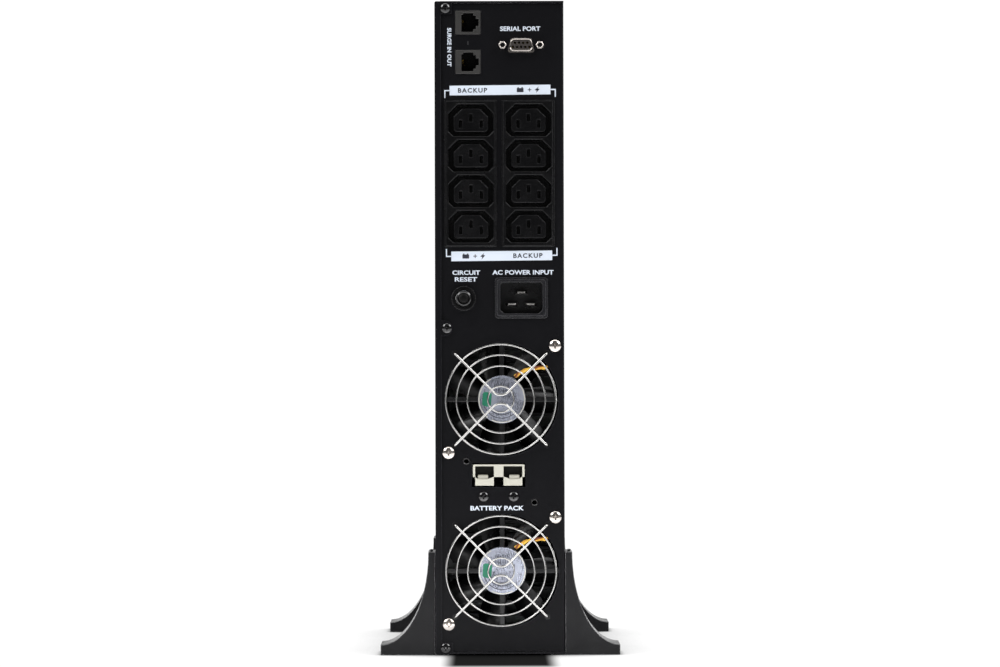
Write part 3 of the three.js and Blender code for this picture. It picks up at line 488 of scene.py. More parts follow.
def make_plastics():
    # The outlet and inlet edges turn lighter as a painted highlight on their rounded edges.
    finish("outlet", (7, 7, 8), 0.24, variation=0.08, wear_and_sheen=0.45, wear_and_sheen_colour=(76, 76, 78), specular=0.26)
    finish("inlet", (18, 18, 21), 0.28, variation=0.08, wear_and_sheen=0.8, wear_and_sheen_colour=(96, 96, 100), specular=0.4)
    finish("insert", (50, 45, 42), 0.45, grain_size=0.4)
    # A near-black finish used as painted shade inside the battery port.
    finish("port_painted_shade", (13, 12, 7), 0.6, specular=0.15)
    finish("jack", (42, 41, 40), 0.42, wear_and_sheen=0.35, wear_and_sheen_colour=(112, 111, 108))
    # The foot's near-white edges are a painted highlight along its rounded edges, where the light catches
    # them.
    finish("foot", (17, 17, 19), 0.42, grain=0.05, grain_size=0.6, variation=0.07,
           wear_and_sheen=1.0, wear_and_sheen_colour=(190, 190, 192), specular=0.18)
    finish("ivory", (182, 180, 168), 0.4, grain=0.015, variation=0.05)
    finish("fan", (12, 12, 13), 0.3, grain=0.01, grain_size=2.0, variation=0.1, coat=0.12, specular=0.3)
    finish("bezel", (30, 31, 33), 0.5, grain=0.07, grain_size=0.7, variation=0.07,
           wear_and_sheen=0.3, wear_and_sheen_colour=(78, 79, 82))
    finish("bezel_gloss", (14, 14, 16), 0.12, grain=0.004, grain_size=1.5, coat=0.8)
    finish("battery", (58, 62, 68), 0.5, grain=0.05, grain_size=0.6, wear_and_sheen=0.4, wear_and_sheen_colour=(110, 114, 120))
    finish("lcd", (32, 58, 88), 0.07, grain=0.002, grain_size=2.0, variation=0.2, coat=1.0)
    finish("button", (62, 64, 67), 0.55, grain=0.03, grain_size=0.4, wear_and_sheen=0.3)
    finish("button_black", (6, 6, 6), 0.4, grain=0.01, specular=0.12)
    finish("collar", (16, 16, 17), 0.16, grain=0.004, grain_size=0.6, coat=0.7)
    finish("sleeve", (28, 34, 56), 0.3, grain_size=0.8, coat=0.4)
    finish("board", (26, 82, 46), 0.38, grain=0.03, grain_size=1.2, variation=0.22, coat=0.4)
    finish("sheath_yellow", (244, 194, 70), 0.42, variation=0.14)
    finish("sheath_brown", (122, 60, 28), 0.42, variation=0.14)
    finish("sheath_amber", (228, 170, 60), 0.42)


def make_paints():
    finish("powder_coat", (6, 6, 9), 0.48, grain=0.04, grain_size=0.7, variation=0.05, smudge=0.02,
           wear_and_sheen=0.45, wear_and_sheen_colour=(74, 74, 80), specular=0.12)
    finish("lcd_ink", (196, 222, 240), 0.35, grain=0.003, grain_size=0.4, variation=0.04)
    for name, colour, roughness, variation in (
        ("print_white", (203, 211, 222), 0.5, 0.03), ("print_dark", (32, 34, 46), 0.5, 0.06),
        ("print_green", (24, 112, 84), 0.4, 0.1), ("print_grey", (52, 52, 54), 0.5, 0.06),
    ):
        finish(name, colour, roughness, grain=0.004, grain_size=0.3, variation=variation)


# ---- pieces ----
def new_object(name, data):
    added = bpy.data.objects.new(name, data)
    bpy.context.scene.collection.objects.link(added)
    return added


def piece(name, solids, material, body="chassis", stands_for=(), sharp=34.0):
    """One Blender object from closed solids in millimetres, riding on a CAD body."""
    whole = Solid()
    for solid in solids:
        whole.add(solid)
    mesh = bpy.data.meshes.new(name)
    mesh.from_pydata([point * MM for point in whole.points], [], whole.faces)
    grown = bmesh.new()
    grown.from_mesh(mesh)
    bmesh.ops.recalc_face_normals(grown, faces=grown.faces)
    grown.to_mesh(mesh)
    grown.free()
    mesh.materials.append(MATERIALS[material])
    mesh.shade_smooth()
    mesh.set_sharp_from_angle(angle=math.radians(sharp))
    shown = new_object(name, mesh)
    shown.modifiers.new("even_shading", "WEIGHTED_NORMAL").keep_sharp = True
    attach(shown, body)
    if stands_for:
        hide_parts(*stands_for)


def stand_in(node, solids, material, body="chassis", sharp=34.0):
    """A finer piece in the place of one CAD node."""
    piece(f"{node}_fine", solids, material, body, [node], sharp)


def dress(node, material, edge, segments=2):
    """A CAD node that stays. Its flat faces are made whole, and its edges rounded unless edge is 0."""
    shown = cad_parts[node]
    weld = shown.modifiers.new("weld", "WELD")
    weld.merge_threshold = 0.001 * MM
    whole = shown.modifiers.new("whole_faces", "DECIMATE")
    whole.decimate_type = "DISSOLVE"
    whole.angle_limit = math.radians(0.5)
    if edge:
        bevel = shown.modifiers.new("round_edges", "BEVEL")
        bevel.width = edge * MM
        bevel.segments = segments
        bevel.limit_method = "ANGLE"
        bevel.angle_limit = math.radians(35)
        bevel.harden_normals = True
    shown.data.materials.clear()
    shown.data.materials.append(MATERIALS[material])


# ---- screws ----
HEAD_SLOPES = (0.93, 0.82, 0.7, 0.6)  # radii of the dome's rings, as shares of the head's radius
RECESS_REACH = 0.46  # half the length and half the width of the cross recess, as shares of the head's radius
RECESS_HALF_WIDTH = 0.14
LONG_SCREW = 12.0
THREAD_PITCH = 0.7


def screw_head(x, z, radius, height, seat):
    """A domed head that faces -Y, with a tapered cross recess."""
    def crown(r):
        return seat - height * math.sqrt(max(0.0, 1 - (0.86 * r / radius) ** 2))

    solid = Solid()
    rim = [solid.flat(circle(x, z, radius), y) for y in (seat, crown(radius))]
    rings = [solid.flat(circle(x, z, radius * share), crown(radius * share)) for share in HEAD_SLOPES]
    solid.bands([*rim, *rings])
    solid.fill(rim[0])
    long, short = radius * RECESS_REACH, radius * RECESS_HALF_WIDTH
    corners = []
    arm = [(long, -short), (long, short), (short, short)]
    for _ in range(4):
        corners += arm
        arm = [(-w, u) for u, w in arm]
    cross = rounded(corners, short * 0.4, 2)

    def cross_at(scale):
        return placed(x, z, [(u * scale, w * scale) for u, w in cross])

    mouth = solid.ring((px, crown(math.hypot(px - x, pz - z)), pz) for px, pz in cross_at(1.0))
    throat = solid.flat(cross_at(0.86), crown(0) + height * 0.25)
    floor = solid.flat(cross_at(0.45), crown(0) + height * 0.95)
    solid.fill(rings[-1], [mouth])
    solid.bands([mouth, throat, floor])
    solid.fill(floor)
    return solid


def screw(node, material):
    """Head, shank and thread of a screw whose CAD node gives its place and its size."""
    at = span(node)
    x, z, end = at.mid.x, at.mid.z, at.high.y
    radius = at.size.x / 2
    shank = radius * 0.45
    height = 2.6 if at.size.y > LONG_SCREW else 2.0
    seat = at.low.y + height
    core = lathe(x, z, [(0, seat), (shank, seat), (shank, end - 1), (shank * 0.6, end), (0, end)], 24)
    steps = 12
    turns = (2 * math.pi * i / steps for i in range(steps * int((end - 1.5 - seat) / THREAD_PITCH)))
    rise = THREAD_PITCH / (2 * math.pi)
    path = [(x + shank * math.cos(a), seat + 0.4 + rise * a, z + shank * math.sin(a)) for a in turns]
    stand_in(node, [screw_head(x, z, radius, height, seat), core, tube(path, 0.16, 6)], material)


def make_screws():
    for place in ("top", "middle", "bottom"):
        screw(f"cover_screw_{place}", "screw_black")
    for place, _ in BOTH_SIDES:
        screw(f"connector_screw_{place}", "screw_black")
    for fan in ("upper", "lower"):
        for place, _ in BOTH_SIDES:
            screw(f"fan_screw_{fan}_{place}", "nickel")


SPARE_HOLES = ((-22.5, 128.8), (23.0, 101.1))


def make_spare_holes():
    """The lips of two threaded inserts pressed into the panel."""
    lip = [(1.6, PANEL), (1.65, PANEL - 0.3), (1.9, PANEL - 0.5), (2.25, PANEL - 0.5), (2.5, PANEL - 0.3),
           (2.6, PANEL - 0.02), (2.3, PANEL), (2.3, BEHIND), (1.6, BEHIND)]
    rims = [lathe(x, UNDERSIDE + z, lip, 32) for x, z in SPARE_HOLES]
    piece("spare_hole_rims", rims, "screw_black")


# ---- outlets ----
SOCKET_ROWS = 4
SOCKET_PITCH = 23.75
SOCKET_SHIFT = 0.3  # from the block's middle line to the sockets' middle line
SOCKET_WELL = symmetric([(11.7, -10.7), (15.1, -7.3), (15.1, 4.5), (8.9, 10.7)])
SOCKET_CORE = symmetric([(11.45, -7.75), (11.45, 2.25), (5.95, 7.75)])
CORE_RADII = [2.3, 0.9, 0.9, 0.9, 0.9, 2.3]
SLOTS = ((0, 1.7), (-6.95, -2.4), (6.95, -2.4))  # earth, line and neutral, from the socket's middle


def socket(x, z, face):
    """One socket: a deep well round a core with three slots."""
    slots = [Area(rect(x + u, z + w, 2.3, 5.4, 0.35, 2), face + 13, edge=0.25) for u, w in SLOTS]
    island = Area(rounded(placed(x, z, SOCKET_CORE), CORE_RADII, 5), face + 0.8, slots, edge=0.3)
    return Area(rounded(placed(x, z, SOCKET_WELL), 0.7, 4), face + 16, [island], edge=0.5)


def make_outlets():
    for side, _ in BOTH_SIDES:
        node = f"outlet_block_{side}"
        at = span(node)
        face = at.low.y
        middle = at.mid.x + SOCKET_SHIFT
        rows = [at.mid.z + (row - (SOCKET_ROWS - 1) / 2) * SOCKET_PITCH for row in range(SOCKET_ROWS)]
        raised = Area(footprint(at, 0.9, -2.4, -1.6), face, [socket(middle, z, face) for z in rows])
        behind = footprint(at, 1.0, -2.6, -2.6)
        block = relief(footprint(at, 1.0), face + 0.5, at.high.y, [raised], edge=0.3, neck=(behind, SEAT))
        stand_in(node, [block], "outlet")
        # The contacts are black, as painted shade deep in the slots.
        springs = []
        for z in rows:
            for u, w in SLOTS:
                left, right = middle + u - 0.3, middle + u + 0.3
                springs.append(bar((left, face + 11, z + w - 2), (right, face + 12.8, z + w + 2), 0.15))
        piece(f"{node}_contacts", springs, "screw_black")


# ---- mains inlet ----
INLET_WELL = symmetric([(11.7, -10.5), (14.2, -8), (14.2, 10.5)])


def make_inlet():
    at = span("inlet_housing")
    x, z, face = at.mid.x, at.mid.z, at.low.y
    behind = footprint(at, 2.2, -4.2, -3)
    well = Area(rounded(placed(x, z, INLET_WELL), [0.6, 0.6, 1.8, 1.8, 0.6, 0.6], 4), face + 20, edge=0.25)
    raised = Area(rect(x, z, 32.6, 24.4, 1.8), face, [well], edge=0.25)
    housing = relief(footprint(at, 2.2), face + 0.7, at.high.y, [raised], edge=0.3, neck=(behind, SEAT))
    stand_in("inlet_housing", [housing], "inlet")
    for pin in ("earth", "line", "neutral"):
        node = f"inlet_pin_{pin}"
        blade = span(node)
        tip = blade.low.y
        stations = [(4.2, 0.8, tip + 1.0), (4.8, 1.2, tip + 1.2), (6.8, 1.9, tip + 3.8),
                    (8.0, 2.0, tip + 6.5), (8.0, 2.0, at.high.y), (6.3, 0.8, at.high.y),
                    (6.3, 0.8, blade.high.y)]
        sections = [[(px, y, pz) for px, pz in rect(blade.mid.x, blade.mid.z, width, height, 0.3, 3)]
                    for width, height, y in stations]
        stand_in(node, [loft(sections)], "pin")


# ---- line jacks, lying on their sides ----
JACK_OPENING = [(-4.4, -6.3), (3.6, -6.3), (3.6, -4.6), (5.3, -4.6), (5.3, -2.4), (7.2, -2.4), (7.2, 2.4),
                (5.3, 2.4), (5.3, 4.6), (3.6, 4.6), (3.6, 6.3), (-3.2, 6.3), (-3.2, 5.2), (-4.4, 5.2)]
JACK_DEPTH = 13.0
JACK_WIRES = 4
WIRE_PITCH = 1.1


def make_jacks():
    for place in ("upper", "lower"):
        node = f"line_jack_{place}"
        at = span(node)
        x, z, face = at.mid.x, at.mid.z, at.low.y
        floor = face + JACK_DEPTH
        opening = rounded(placed(x, z, JACK_OPENING), 0.15, 2)
        well, behind = Area(opening, floor, edge=0.3), footprint(at, 0.8, 2, 2)
        body = relief(footprint(at, 0.8), face, at.high.y, [well], edge=0.3, neck=(behind, BEHIND))
        stand_in(node, [body], "jack")
        # A black lining in the opening is painted shade, which keeps the jack's inside dark.
        inside = Area(offset(opening, 0.3), floor - 0.4)
        shade_lining = relief(offset(opening, 0.02), face + 1.2, floor - 0.02, [inside], edge=0.1)
        piece(f"{node}_lining", [shade_lining], "button_black")
        wires = []
        for i in range(JACK_WIRES):
            height = z + (i - (JACK_WIRES - 1) / 2) * WIRE_PITCH
            bends = [(x + dx, floor - dy, height) for dx, dy in ((-3.8, 3), (-2.9, 3), (-0.8, 0.5))]
            wires.append(tube(rounded(bends, 0.8, 4, closed=False), 0.2, 8))
        piece(f"{node}_contacts", wires, "gold")


# ---- serial port ----
CONTACT_ROWS = ((4, 1.42), (5, -1.42))  # how many contacts, and their height from the middle
CONTACT_PITCH = 2.77
JACKSCREW_OFFSET = 12.5


def d_outline(x, z, width, height, radius):
    """The nine-pin outline: its wide side is at the bottom and its ends lean in 10 degrees."""
    lean = height * math.tan(math.radians(10))
    w, h = width / 2, height / 2
    return rounded(placed(x, z, [(-w, -h), (w, -h), (w - lean, h), (lean - w, h)]), radius, 8)


def make_serial():
    shell, insert = span("serial_shell"), span("serial_insert")
    x, z, face = shell.mid.x, shell.mid.z, shell.low.y
    bore = Area(d_outline(x, z, 15.1, 6.9, 2.3), edge=0.35)
    sleeve = relief(d_outline(x, z, 16.9, 8.7, 3.2), face, shell.high.y, [bore])
    flare_bore = Area(d_outline(x, z, 15.9, 7.7, 2.4), edge=0.1)
    flare = relief(d_outline(x, z, 17.6, 9.3, 3.6), PANEL + 0.5, BEHIND + 0.8, [flare_bore], edge=0.5)
    holes = [Area(rect(x, z, 15.9, 7.7, 1.0), edge=0.05)]
    holes += [Area(circle(x + side * JACKSCREW_OFFSET, z, 1.8, 16), edge=0.05) for _, side in BOTH_SIDES]
    flange = relief(footprint(shell, 1.2), BEHIND, BEHIND + 0.8, holes, edge=0.1)
    stand_in("serial_shell", [sleeve, flare, flange], "nickel")
    places = [(x + (i - (count - 1) / 2) * CONTACT_PITCH, z + height)
              for count, height in CONTACT_ROWS for i in range(count)]
    bores = [Area(circle(px, pz, 0.9, 16), face + 6, edge=0.12) for px, pz in places]
    body = relief(d_outline(x, z, 14.9, 6.7, 2.2), insert.low.y, insert.high.y, bores, edge=0.2)
    stand_in("serial_insert", [body], "insert")
    sleeves = [(0, face + 3), (0.3, face + 3.2), (0.46, face + 3.8), (0.46, face + 5.9), (0, face + 5.9)]
    piece("serial_contacts", [lathe(px, pz, sleeves, 12) for px, pz in places], "gold")
    for side, _ in BOTH_SIDES:
        make_jackscrew(f"serial_jackscrew_{side}")


def make_jackscrew(node):
    """A hexagonal standoff with a threaded hole for the plug's screw."""
    at = span(node)
    x, z, front = at.mid.x, at.mid.z, at.low.y
    bore, bore_end = 1.6, SEAT - 1
    hexagon = rounded(circle(x, z, 2.75, 6), 0.3, 3)
    head = relief(hexagon, front, SEAT, [Area(circle(x, z, bore, 32), bore_end, edge=0.3)])
    shank = lathe(x, z, [(0, SEAT), (1.4, SEAT), (1.4, at.high.y), (0, at.high.y)], 16)
    # The black thread fills the bore as painted shade, which keeps the hole dark.
    thread = lathe(x, z, [(0, front + 1.2), (bore, front + 1.2), (bore, bore_end), (0, bore_end)])
    stand_in(node, [head, shank], "nickel")
    piece(f"{node}_thread", [thread], "screw_black")


# ---- external battery port ----
PORT_WALL = 1.5
POLE_OFFSET = 9.5
POLE_HEIGHT = 5.8
TONGUE = ((3.0, 0.0, 1.4), (3.4, 0.3, 2.3), (3.4, 1.4, 2.9), (3.4, 6.0, 2.2))  # half width, depth and height


def make_battery_port():
    """A hood over two poles, each pole with a window, a dark block behind it as painted shade, and a contact
    tongue.
    """
    at = span("battery_connector")
    x, z, face = at.mid.x, at.mid.z, at.low.y
    w, h = at.size.x / 2, at.size.z / 2
    half_pole = w - PORT_WALL - POLE_OFFSET
    shoulder, top = z - h + POLE_HEIGHT, z + h
    outline = [(x - w, shoulder)]
    windows, shade_blocks = [], []
    for side, sign in BOTH_SIDES:
        centre = x + sign * POLE_OFFSET
        left, right = centre - half_pole, centre + half_pole
        outline += [(left, shoulder), (left, z - h), (right, z - h), (right, shoulder)]
        reach = half_pole - 0.02
        dip, low = centre + sign, shoulder - 1.5
        first, last = centre - reach, centre + reach
        window = [(first, shoulder + 0.1), (dip - 5.4, shoulder - 0.35), (dip - 2.6, low), (dip + 2.6, low),
                  (last, shoulder + 0.1), (last, top - 1.2), (first, top - 1.2)]
        windows.append(Area(rounded(window, [0.0, 1.5, 2.0, 2.0, 0.2, 0.5, 0.5], 5), BEHIND + 20))
        # Behind each window a dark block is painted shade, which keeps the pole's inside dark.
        shade_blocks.append(bar((left + 0.1, face + 5, low - 0.1), (right - 0.1, face + 19, top - 1.3), 0.3))
        node = f"battery_contact_{side}"
        contact = span(node)
        tongue = []
        for half, depth, thick in (*TONGUE, (3.4, contact.size.y - 2, 1.6)):
            section = rect(dip, low + 0.1 + thick / 2, 2 * half, thick, 0.4, 3)
            tongue.append([(px, contact.low.y + depth, pz) for px, pz in section])
        stand_in(node, [loft(tongue)], "contact")
    outline += [(x + w, shoulder), (x + w, top), (x - w, top)]
    outline = rounded(outline, [0.25] + [0.25, 0.4, 0.4, 0.25] * 2 + [0.25, 0.9, 0.9], 3)
    hood = relief(outline, face, at.high.y, windows, edge=0.3)
    stand_in("battery_connector", [hood], "ivory")
    piece("battery_connector_shade_block", shade_blocks, "port_painted_shade")


# ---- breaker ----
NUT_TEETH = 28
NECK = 5.35
NECK_PITCH = 0.7


def make_breaker():
    nut, button, body = span("breaker_nut"), span("breaker_button"), span("breaker_body")
    x, z, front = nut.mid.x, nut.mid.z, body.low.y
    outer = nut.size.x / 2
    count = NUT_TEETH * 4
    crest, root = circle(x, z, outer, count), circle(x, z, outer - 0.55, count)
    rim = [point for i in range(0, count, 4) for point in crest[i:i + 2] + root[i + 2:i + 4]]
    ring = relief(rim, nut.low.y, nut.high.y, [Area(circle(x, z, NECK + 0.3), edge=0.5)], edge=0.35)
    stand_in("breaker_nut", [ring], "outlet")
    thread = []
    y = nut.low.y
    while y > front + 1.2:
        thread += [(NECK, y), (NECK - 0.25, y - NECK_PITCH / 2)]
        y -= NECK_PITCH
    back = BEHIND + 20
    collar = [(3.5, back), (3.5, front + 0.8), (3.75, front + 0.15), (4.4, front), (4.9, front + 0.25),
              (5.2, front + 0.9), *reversed(thread), (NECK, BEHIND), (NECK, back)]
    can = bar((x - 7.5, BEHIND, z - 12), (x + 7.5, body.high.y, z + 12), 0.8)
    stand_in("breaker_body", [lathe(x, z, collar, 64), can], "collar")
    tip, radius = button.low.y, button.size.x / 2
    dome = [(0, tip), (1.0, tip + 0.02), (1.9, tip + 0.14), (2.6, tip + 0.42), (2.95, tip + 0.75),
            (radius, tip + 1.3), (radius, button.high.y), (0, button.high.y)]
    stand_in("breaker_button", [lathe(x, z, dome)], "button_black", "breaker_button")


# ---- fans ----
BORE = 38.2
BORE_WALL = 1.7
HOLE_FROM_EDGE = 4.25
PLATE = 3.5
HUB = 16.2
BLADES = 7
BLADE_CHORD = 22.0
BLADE_PITCH = (42, 16)  # degrees at the hub, and what is added towards the tip
BLADE_CAMBER = 1.6
BLADE_THICKNESS = 0.62
GUARD_RINGS = (36.8, 29.7, 22.4, 8.7)
GUARD_TIP = 30.9
GUARD_INNER = 3.0
WIRE = 0.6
SPOKE = 0.82


def fan_frame(x, z, at):
    """Two square plates round the bore, and a hub on four struts."""
    front, back, size = at.low.y, at.high.y, at.size.x
    corner = size / 2 - HOLE_FROM_EDGE
    bore = Area(circle(x, z, BORE, 96), edge=0.6)
    corners = placed(x, z, [(-corner, -corner), (-corner, corner), (corner, -corner), (corner, corner)])
    holes = [Area(circle(*place, 2.3, 20), edge=0.1) for place in corners]
    plates = [relief(rect(x, z, size, size, 5), y, y + PLATE, [bore, *holes], edge=0.3)
              for y in (front, back - PLATE)]
    outer = BORE + BORE_WALL
    wall = lathe(x, z, [(BORE, front + 1), (outer, front + 1), (outer, back - 1), (BORE, back - 1)], 96)
    hub = lathe(x, z, [(0, front + 0.5), (HUB - 0.9, front + 0.5), (HUB - 0.6, front),
                       (HUB - 0.2, front + 0.2), (HUB, front + 0.7), (HUB, front + 3.4),
                       (0, front + 3.4)], 72)
    strut = bar((x + HUB - 0.5, front + 0.2, z - 1.7), (x + BORE + 0.4, front + 3.4, z + 1.7), 0.5)
    struts = [arm for i in range(4) for arm in turned([strut], (x, 0, z), -i * math.pi / 2)]
    return [*plates, wall, hub, *struts]


def fan_blade(x, z, middle, start):
    """A cambered blade, pitched steeply at the hub and flatter at its tip."""
    root, tip = HUB - 0.6, BORE - 1.4
    stations, points = 9, 20
    sections = []
    for i in range(stations + 1):
        k = i / stations
        radius = root + (tip - root) * k
        pitch = math.radians(BLADE_PITCH[0] + BLADE_PITCH[1] * k)
        half = BLADE_CHORD / 2 * (1 - 0.8 * max(0, k - 0.8))
        ring = []
        for j in range(points):
            a = 2 * math.pi * j / points
            wide, rise = half * math.cos(a), math.sin(a)
            lift = BLADE_THICKNESS * rise * (0.45 + 0.55 * abs(rise)) + BLADE_CAMBER * rise ** 2
            across = wide * math.sin(pitch) + lift * math.cos(pitch)
            axial = wide * math.cos(pitch) - lift * math.sin(pitch)
            turn = start - across / radius
            ring.append((x + radius * math.cos(turn), middle + axial, z + radius * math.sin(turn)))
        sections.append(ring)
    return loft(sections)


def fan_rotor(x, z, at):
    """A cup with its cap and shaft, and the blades round it."""
    front, back = max(at.low.y, BEHIND + 4.2), at.high.y
    cup = lathe(x, z, [(HUB - 2, back - 3), (HUB - 2, front), (HUB - 0.4, front), (HUB, front + 0.4),
                       (HUB, back - 1.8), (HUB - 0.5, back - 0.6), (HUB - 1.8, back), (4, back),
                       (4, back - 3)], 72)
    cap = lathe(x, z, [(0, back - 2.6), (4.2, back - 2.6), (4.2, back - 0.2), (0, back - 0.2)], 32)
    shaft = lathe(x, z, [(0, BEHIND + 2.6), (1.5, BEHIND + 2.6), (1.5, back - 1), (0, back - 1)], 20)
    middle = (front + back) / 2
    return [cup, cap, shaft, *(fan_blade(x, z, middle, 2 * math.pi * i / BLADES) for i in range(BLADES))]


def guard_spoke(x, z, side, y):
    """One V-shaped wire, from a panel hole across the rings to the middle and back out to the next hole."""
    half = [(GUARD_TIP, BEHIND), (GUARD_TIP, y), (GUARD_INNER, y)]
    corners = [(x - u, depth, z + side * u) for u, depth in half]
    corners += [(x + u, depth, z + side * u) for u, depth in reversed(half)]
    return tube(rounded(corners, [0, 2.2, 5.5, 5.5, 2.2, 0], 10, closed=False), SPOKE, 14)


def fan_guard(x, z, at):
    spoke_y = at.low.y + SPOKE
    ring_y = spoke_y + SPOKE + WIRE - 0.4
    rings = [tube([(px, ring_y, pz) for px, pz in circle(x, z, radius, 96)], WIRE, 14, closed=True)
             for radius in GUARD_RINGS]
    return [*rings, *(guard_spoke(x, z, side, spoke_y) for side in (1, -1))]


LABEL_ARCS = ((12.6, 200, 120), (10.2, 215, 95))  # radius, start and sweep
# Painted highlight arcs on the label's rim: radius, start and sweep.
LABEL_RIM_HIGHLIGHTS = ((15.35, 120, 110), (15.35, 245, 50), (15.35, -50, 105))
LABEL_ROWS = ((9.6, 9, 0.0), (6.2, 13, 0.0), (2.8, 9, 3.5), (-9.6, 11, 0.0))  # height, ticks and shift
LABEL_PATCH = ((-13.2, -4.2), (-7.4, -5.2), (-6.6, 4.4), (-12.6, 5.2))


def make_hub_label(place, x, z, y):
    """Foil disc with painted highlight arcs on its rim, printed arcs and ticks, and one plain coloured patch.
    """
    rim_y, field_y = y - 0.5, y - 0.12
    foil = relief(circle(x, z, 16.0, 72), rim_y, y + 0.2, [Area(circle(x, z, 15.0, 72), field_y)], edge=0.3)
    piece(f"fan_label_{place}", [foil], "foil")
    # Light arcs on the rim are a painted highlight.
    rim = [stroke(arc(x, z, *sweep), 0.6, rim_y) for sweep in LABEL_RIM_HIGHLIGHTS]
    piece(f"fan_label_rim_highlight_{place}", rim, "contact")
    patch = print_shape(rounded(placed(x, z, LABEL_PATCH), 1.6), field_y)
    piece(f"fan_label_accent_{place}", [patch], "print_green")
    marks = [stroke(arc(x, z, *sweep), 0.45, field_y) for sweep in LABEL_ARCS]
    for height, count, shift in LABEL_ROWS:
        for i in range(count):
            u = x + (i - (count - 1) / 2) * 1.15 + shift
            length = 0.7 + 0.4 * ((i * 7) % 3)
            marks.append(stroke([(u, z + height - length), (u, z + height + length)], 0.4, field_y))
    piece(f"fan_label_print_{place}", marks, "print_dark")


LEAD = 0.72
LEAD_TWISTS = 1.6


def make_fan_leads(place, x, z, y):
    """Three twisted leads from the hub to the side of the bore."""
    start = Vector((x + 9, y, z + 15.2))
    bend = Vector((x + 15, y - 0.6, z + 21.5))
    end = Vector((x + 30.5, y, z + 21.3))
    forward = Vector((0, 1, 0))
    steps = 48
    ways = (i / steps for i in range(steps + 1))
    middle = [start * (1 - k) ** 2 + bend * 2 * k * (1 - k) + end * k ** 2 for k in ways]
    for i, colour in enumerate(("yellow", "amber", "brown")):
        path = []
        for j, point in enumerate(middle):
            way = (middle[min(j + 1, steps)] - middle[max(j - 1, 0)]).normalized()
            side = way.cross(forward).normalized()
            a = 2 * math.pi * (i / 3 + LEAD_TWISTS * j / steps)
            path.append(point + (side * math.cos(a) + forward * math.sin(a)) * (LEAD - 0.06))
        stands_for = [f"fan_cable_{place}"] if i == 0 else []
        piece(f"fan_lead_{colour}_{place}", [tube(path, LEAD)], f"sheath_{colour}",
              stands_for=stands_for)


def make_fan(place):
    at, rotor, guard = span(f"fan_frame_{place}"), span(f"fan_rotor_{place}"), span(f"fan_guard_{place}")
    x, z = at.mid.x, at.mid.z
    node = f"fan_rotor_{place}"
    stand_in(f"fan_frame_{place}", fan_frame(x, z, at), "fan")
    stand_in(node, fan_rotor(x, z, rotor), "fan", node, 50.0)
    stand_in(f"fan_guard_{place}", fan_guard(guard.mid.x, z, guard), "guard_wire", sharp=60.0)
    make_hub_label(place, x, z, at.low.y + 0.4)
    make_fan_leads(place, x, z, at.low.y + 1.7)


# ---- feet ----
FOOT_TOP_REACH = 5.0
FOOT_UNDER = 9.0
FOOT_LIP = 7.0
FOOT_STEPS = 32


def make_foot(node, side):
    """A foot flares out from the side of the body in a quarter ellipse and has a peg on its top."""
    at = span(node)
    far = at.low.x if side < 0 else at.high.x
    plate = side * BASE.high.x
    wall, under = plate + side * GAP, plate - side * FOOT_UNDER
    top = at.high.z
    flare = abs(far - plate) - FOOT_TOP_REACH
    turns = (math.pi / 2 * i / FOOT_STEPS for i in range(FOOT_STEPS + 1))
    curve = [(far - side * flare * math.sin(a), top - (top - FOOT_LIP) * math.cos(a)) for a in turns]
    corners = [(wall, top), (wall, UNDERSIDE - GAP), (under, UNDERSIDE - GAP), (under, 0.0), (far, 0.0)]
    outline = rounded([*corners, *curve], [0.4, 0.2, 0.2, 0.2, 0.7] + [0.0] * len(curve), 4)
    body = relief(outline, at.low.y, at.high.y, edge=0.25)
    peg_x = wall + side * FOOT_TOP_REACH / 2
    peg = bar((peg_x - 1, at.low.y + 2, top - 0.5), (peg_x + 1, at.low.y + 6, top + 2), 0.4)
    stand_in(node, [body, peg], "foot", node)


def make_feet():
    for depth in ("rear", "front"):
        for place, side in BOTH_SIDES:
            make_foot(f"foot_{depth}_{place}", side)


# ---- printing on the panel ----
STRIP_WIDTH = 67.6
STRIP_HEIGHT = 6.5
STRIP_TILT = -math.radians(0.5)
BOLT = ((1.2, 2.2), (-1.6, -0.3), (-0.2, -0.6), (-0.8, -2.3), (1.7, 0.4), (0.4, 0.7))
WORDS = (  # text, middle of it, width and capital height
    ("SERIAL PORT", 14.2, 418.5, 27.0, 3.1), ("CIRCUIT", -22.3, 255.1, 18.6, 3.0),
    ("RESET", -22.5, 250.6, 15.0, 3.0), ("AC POWER INPUT", 15.7, 255.2, 41.0, 3.1),
    ("BATTERY PACK", -2.0, 97.4, 35.7, 3.1),
)


def icons(x, z, plane):
    """A battery with its two posts, a plus and a bolt, in a row."""
    shell = rect(x, z - 0.2, 4.5, 2.7, 0.3, 3)
    posts = [rect(x + dx, z + 1.45, 0.9, 0.7, 0.1, 2) for dx in (-1.3, 1.3)]
    plus_x, arm = x + 6.3, 1.0
    plus = [stroke(ends, 0.5, plane) for ends in (
        [(plus_x - arm, z), (plus_x + arm, z)], [(plus_x, z - arm), (plus_x, z + arm)])]
    bolt = placed(x + 11.3, z, BOLT)
    return [*(print_shape(outline, plane) for outline in (shell, *posts)), *plus, print_shape(bolt, plane)]


def strip(x, z, icons_left, legend_left, towards):
    """A white band beside both outlet blocks, with a legend and icons, and a bracket at each of its ends."""
    left = x - STRIP_WIDTH / 2
    plane = PANEL - PRINT
    white = [print_shape(rect(x, z, STRIP_WIDTH, STRIP_HEIGHT, 0.1, 2))]
    for _, side in BOTH_SIDES:
        end = x + side * STRIP_WIDTH / 2
        out = end + side * 3.2
        white.append(stroke([(end, z), (out, z), (out, z + towards * 4.6)], 0.8))
    legend_x = left + legend_left + 9.8
    ink = [lettering("BACKUP", legend_x, z, 19.6, 3.2, plane, spacing=1.25, weight=0.03)]
    ink += icons(left + icons_left, z, plane)
    pivot = (x, 0, z)
    return turned(white, pivot, STRIP_TILT), turned(ink, pivot, STRIP_TILT)


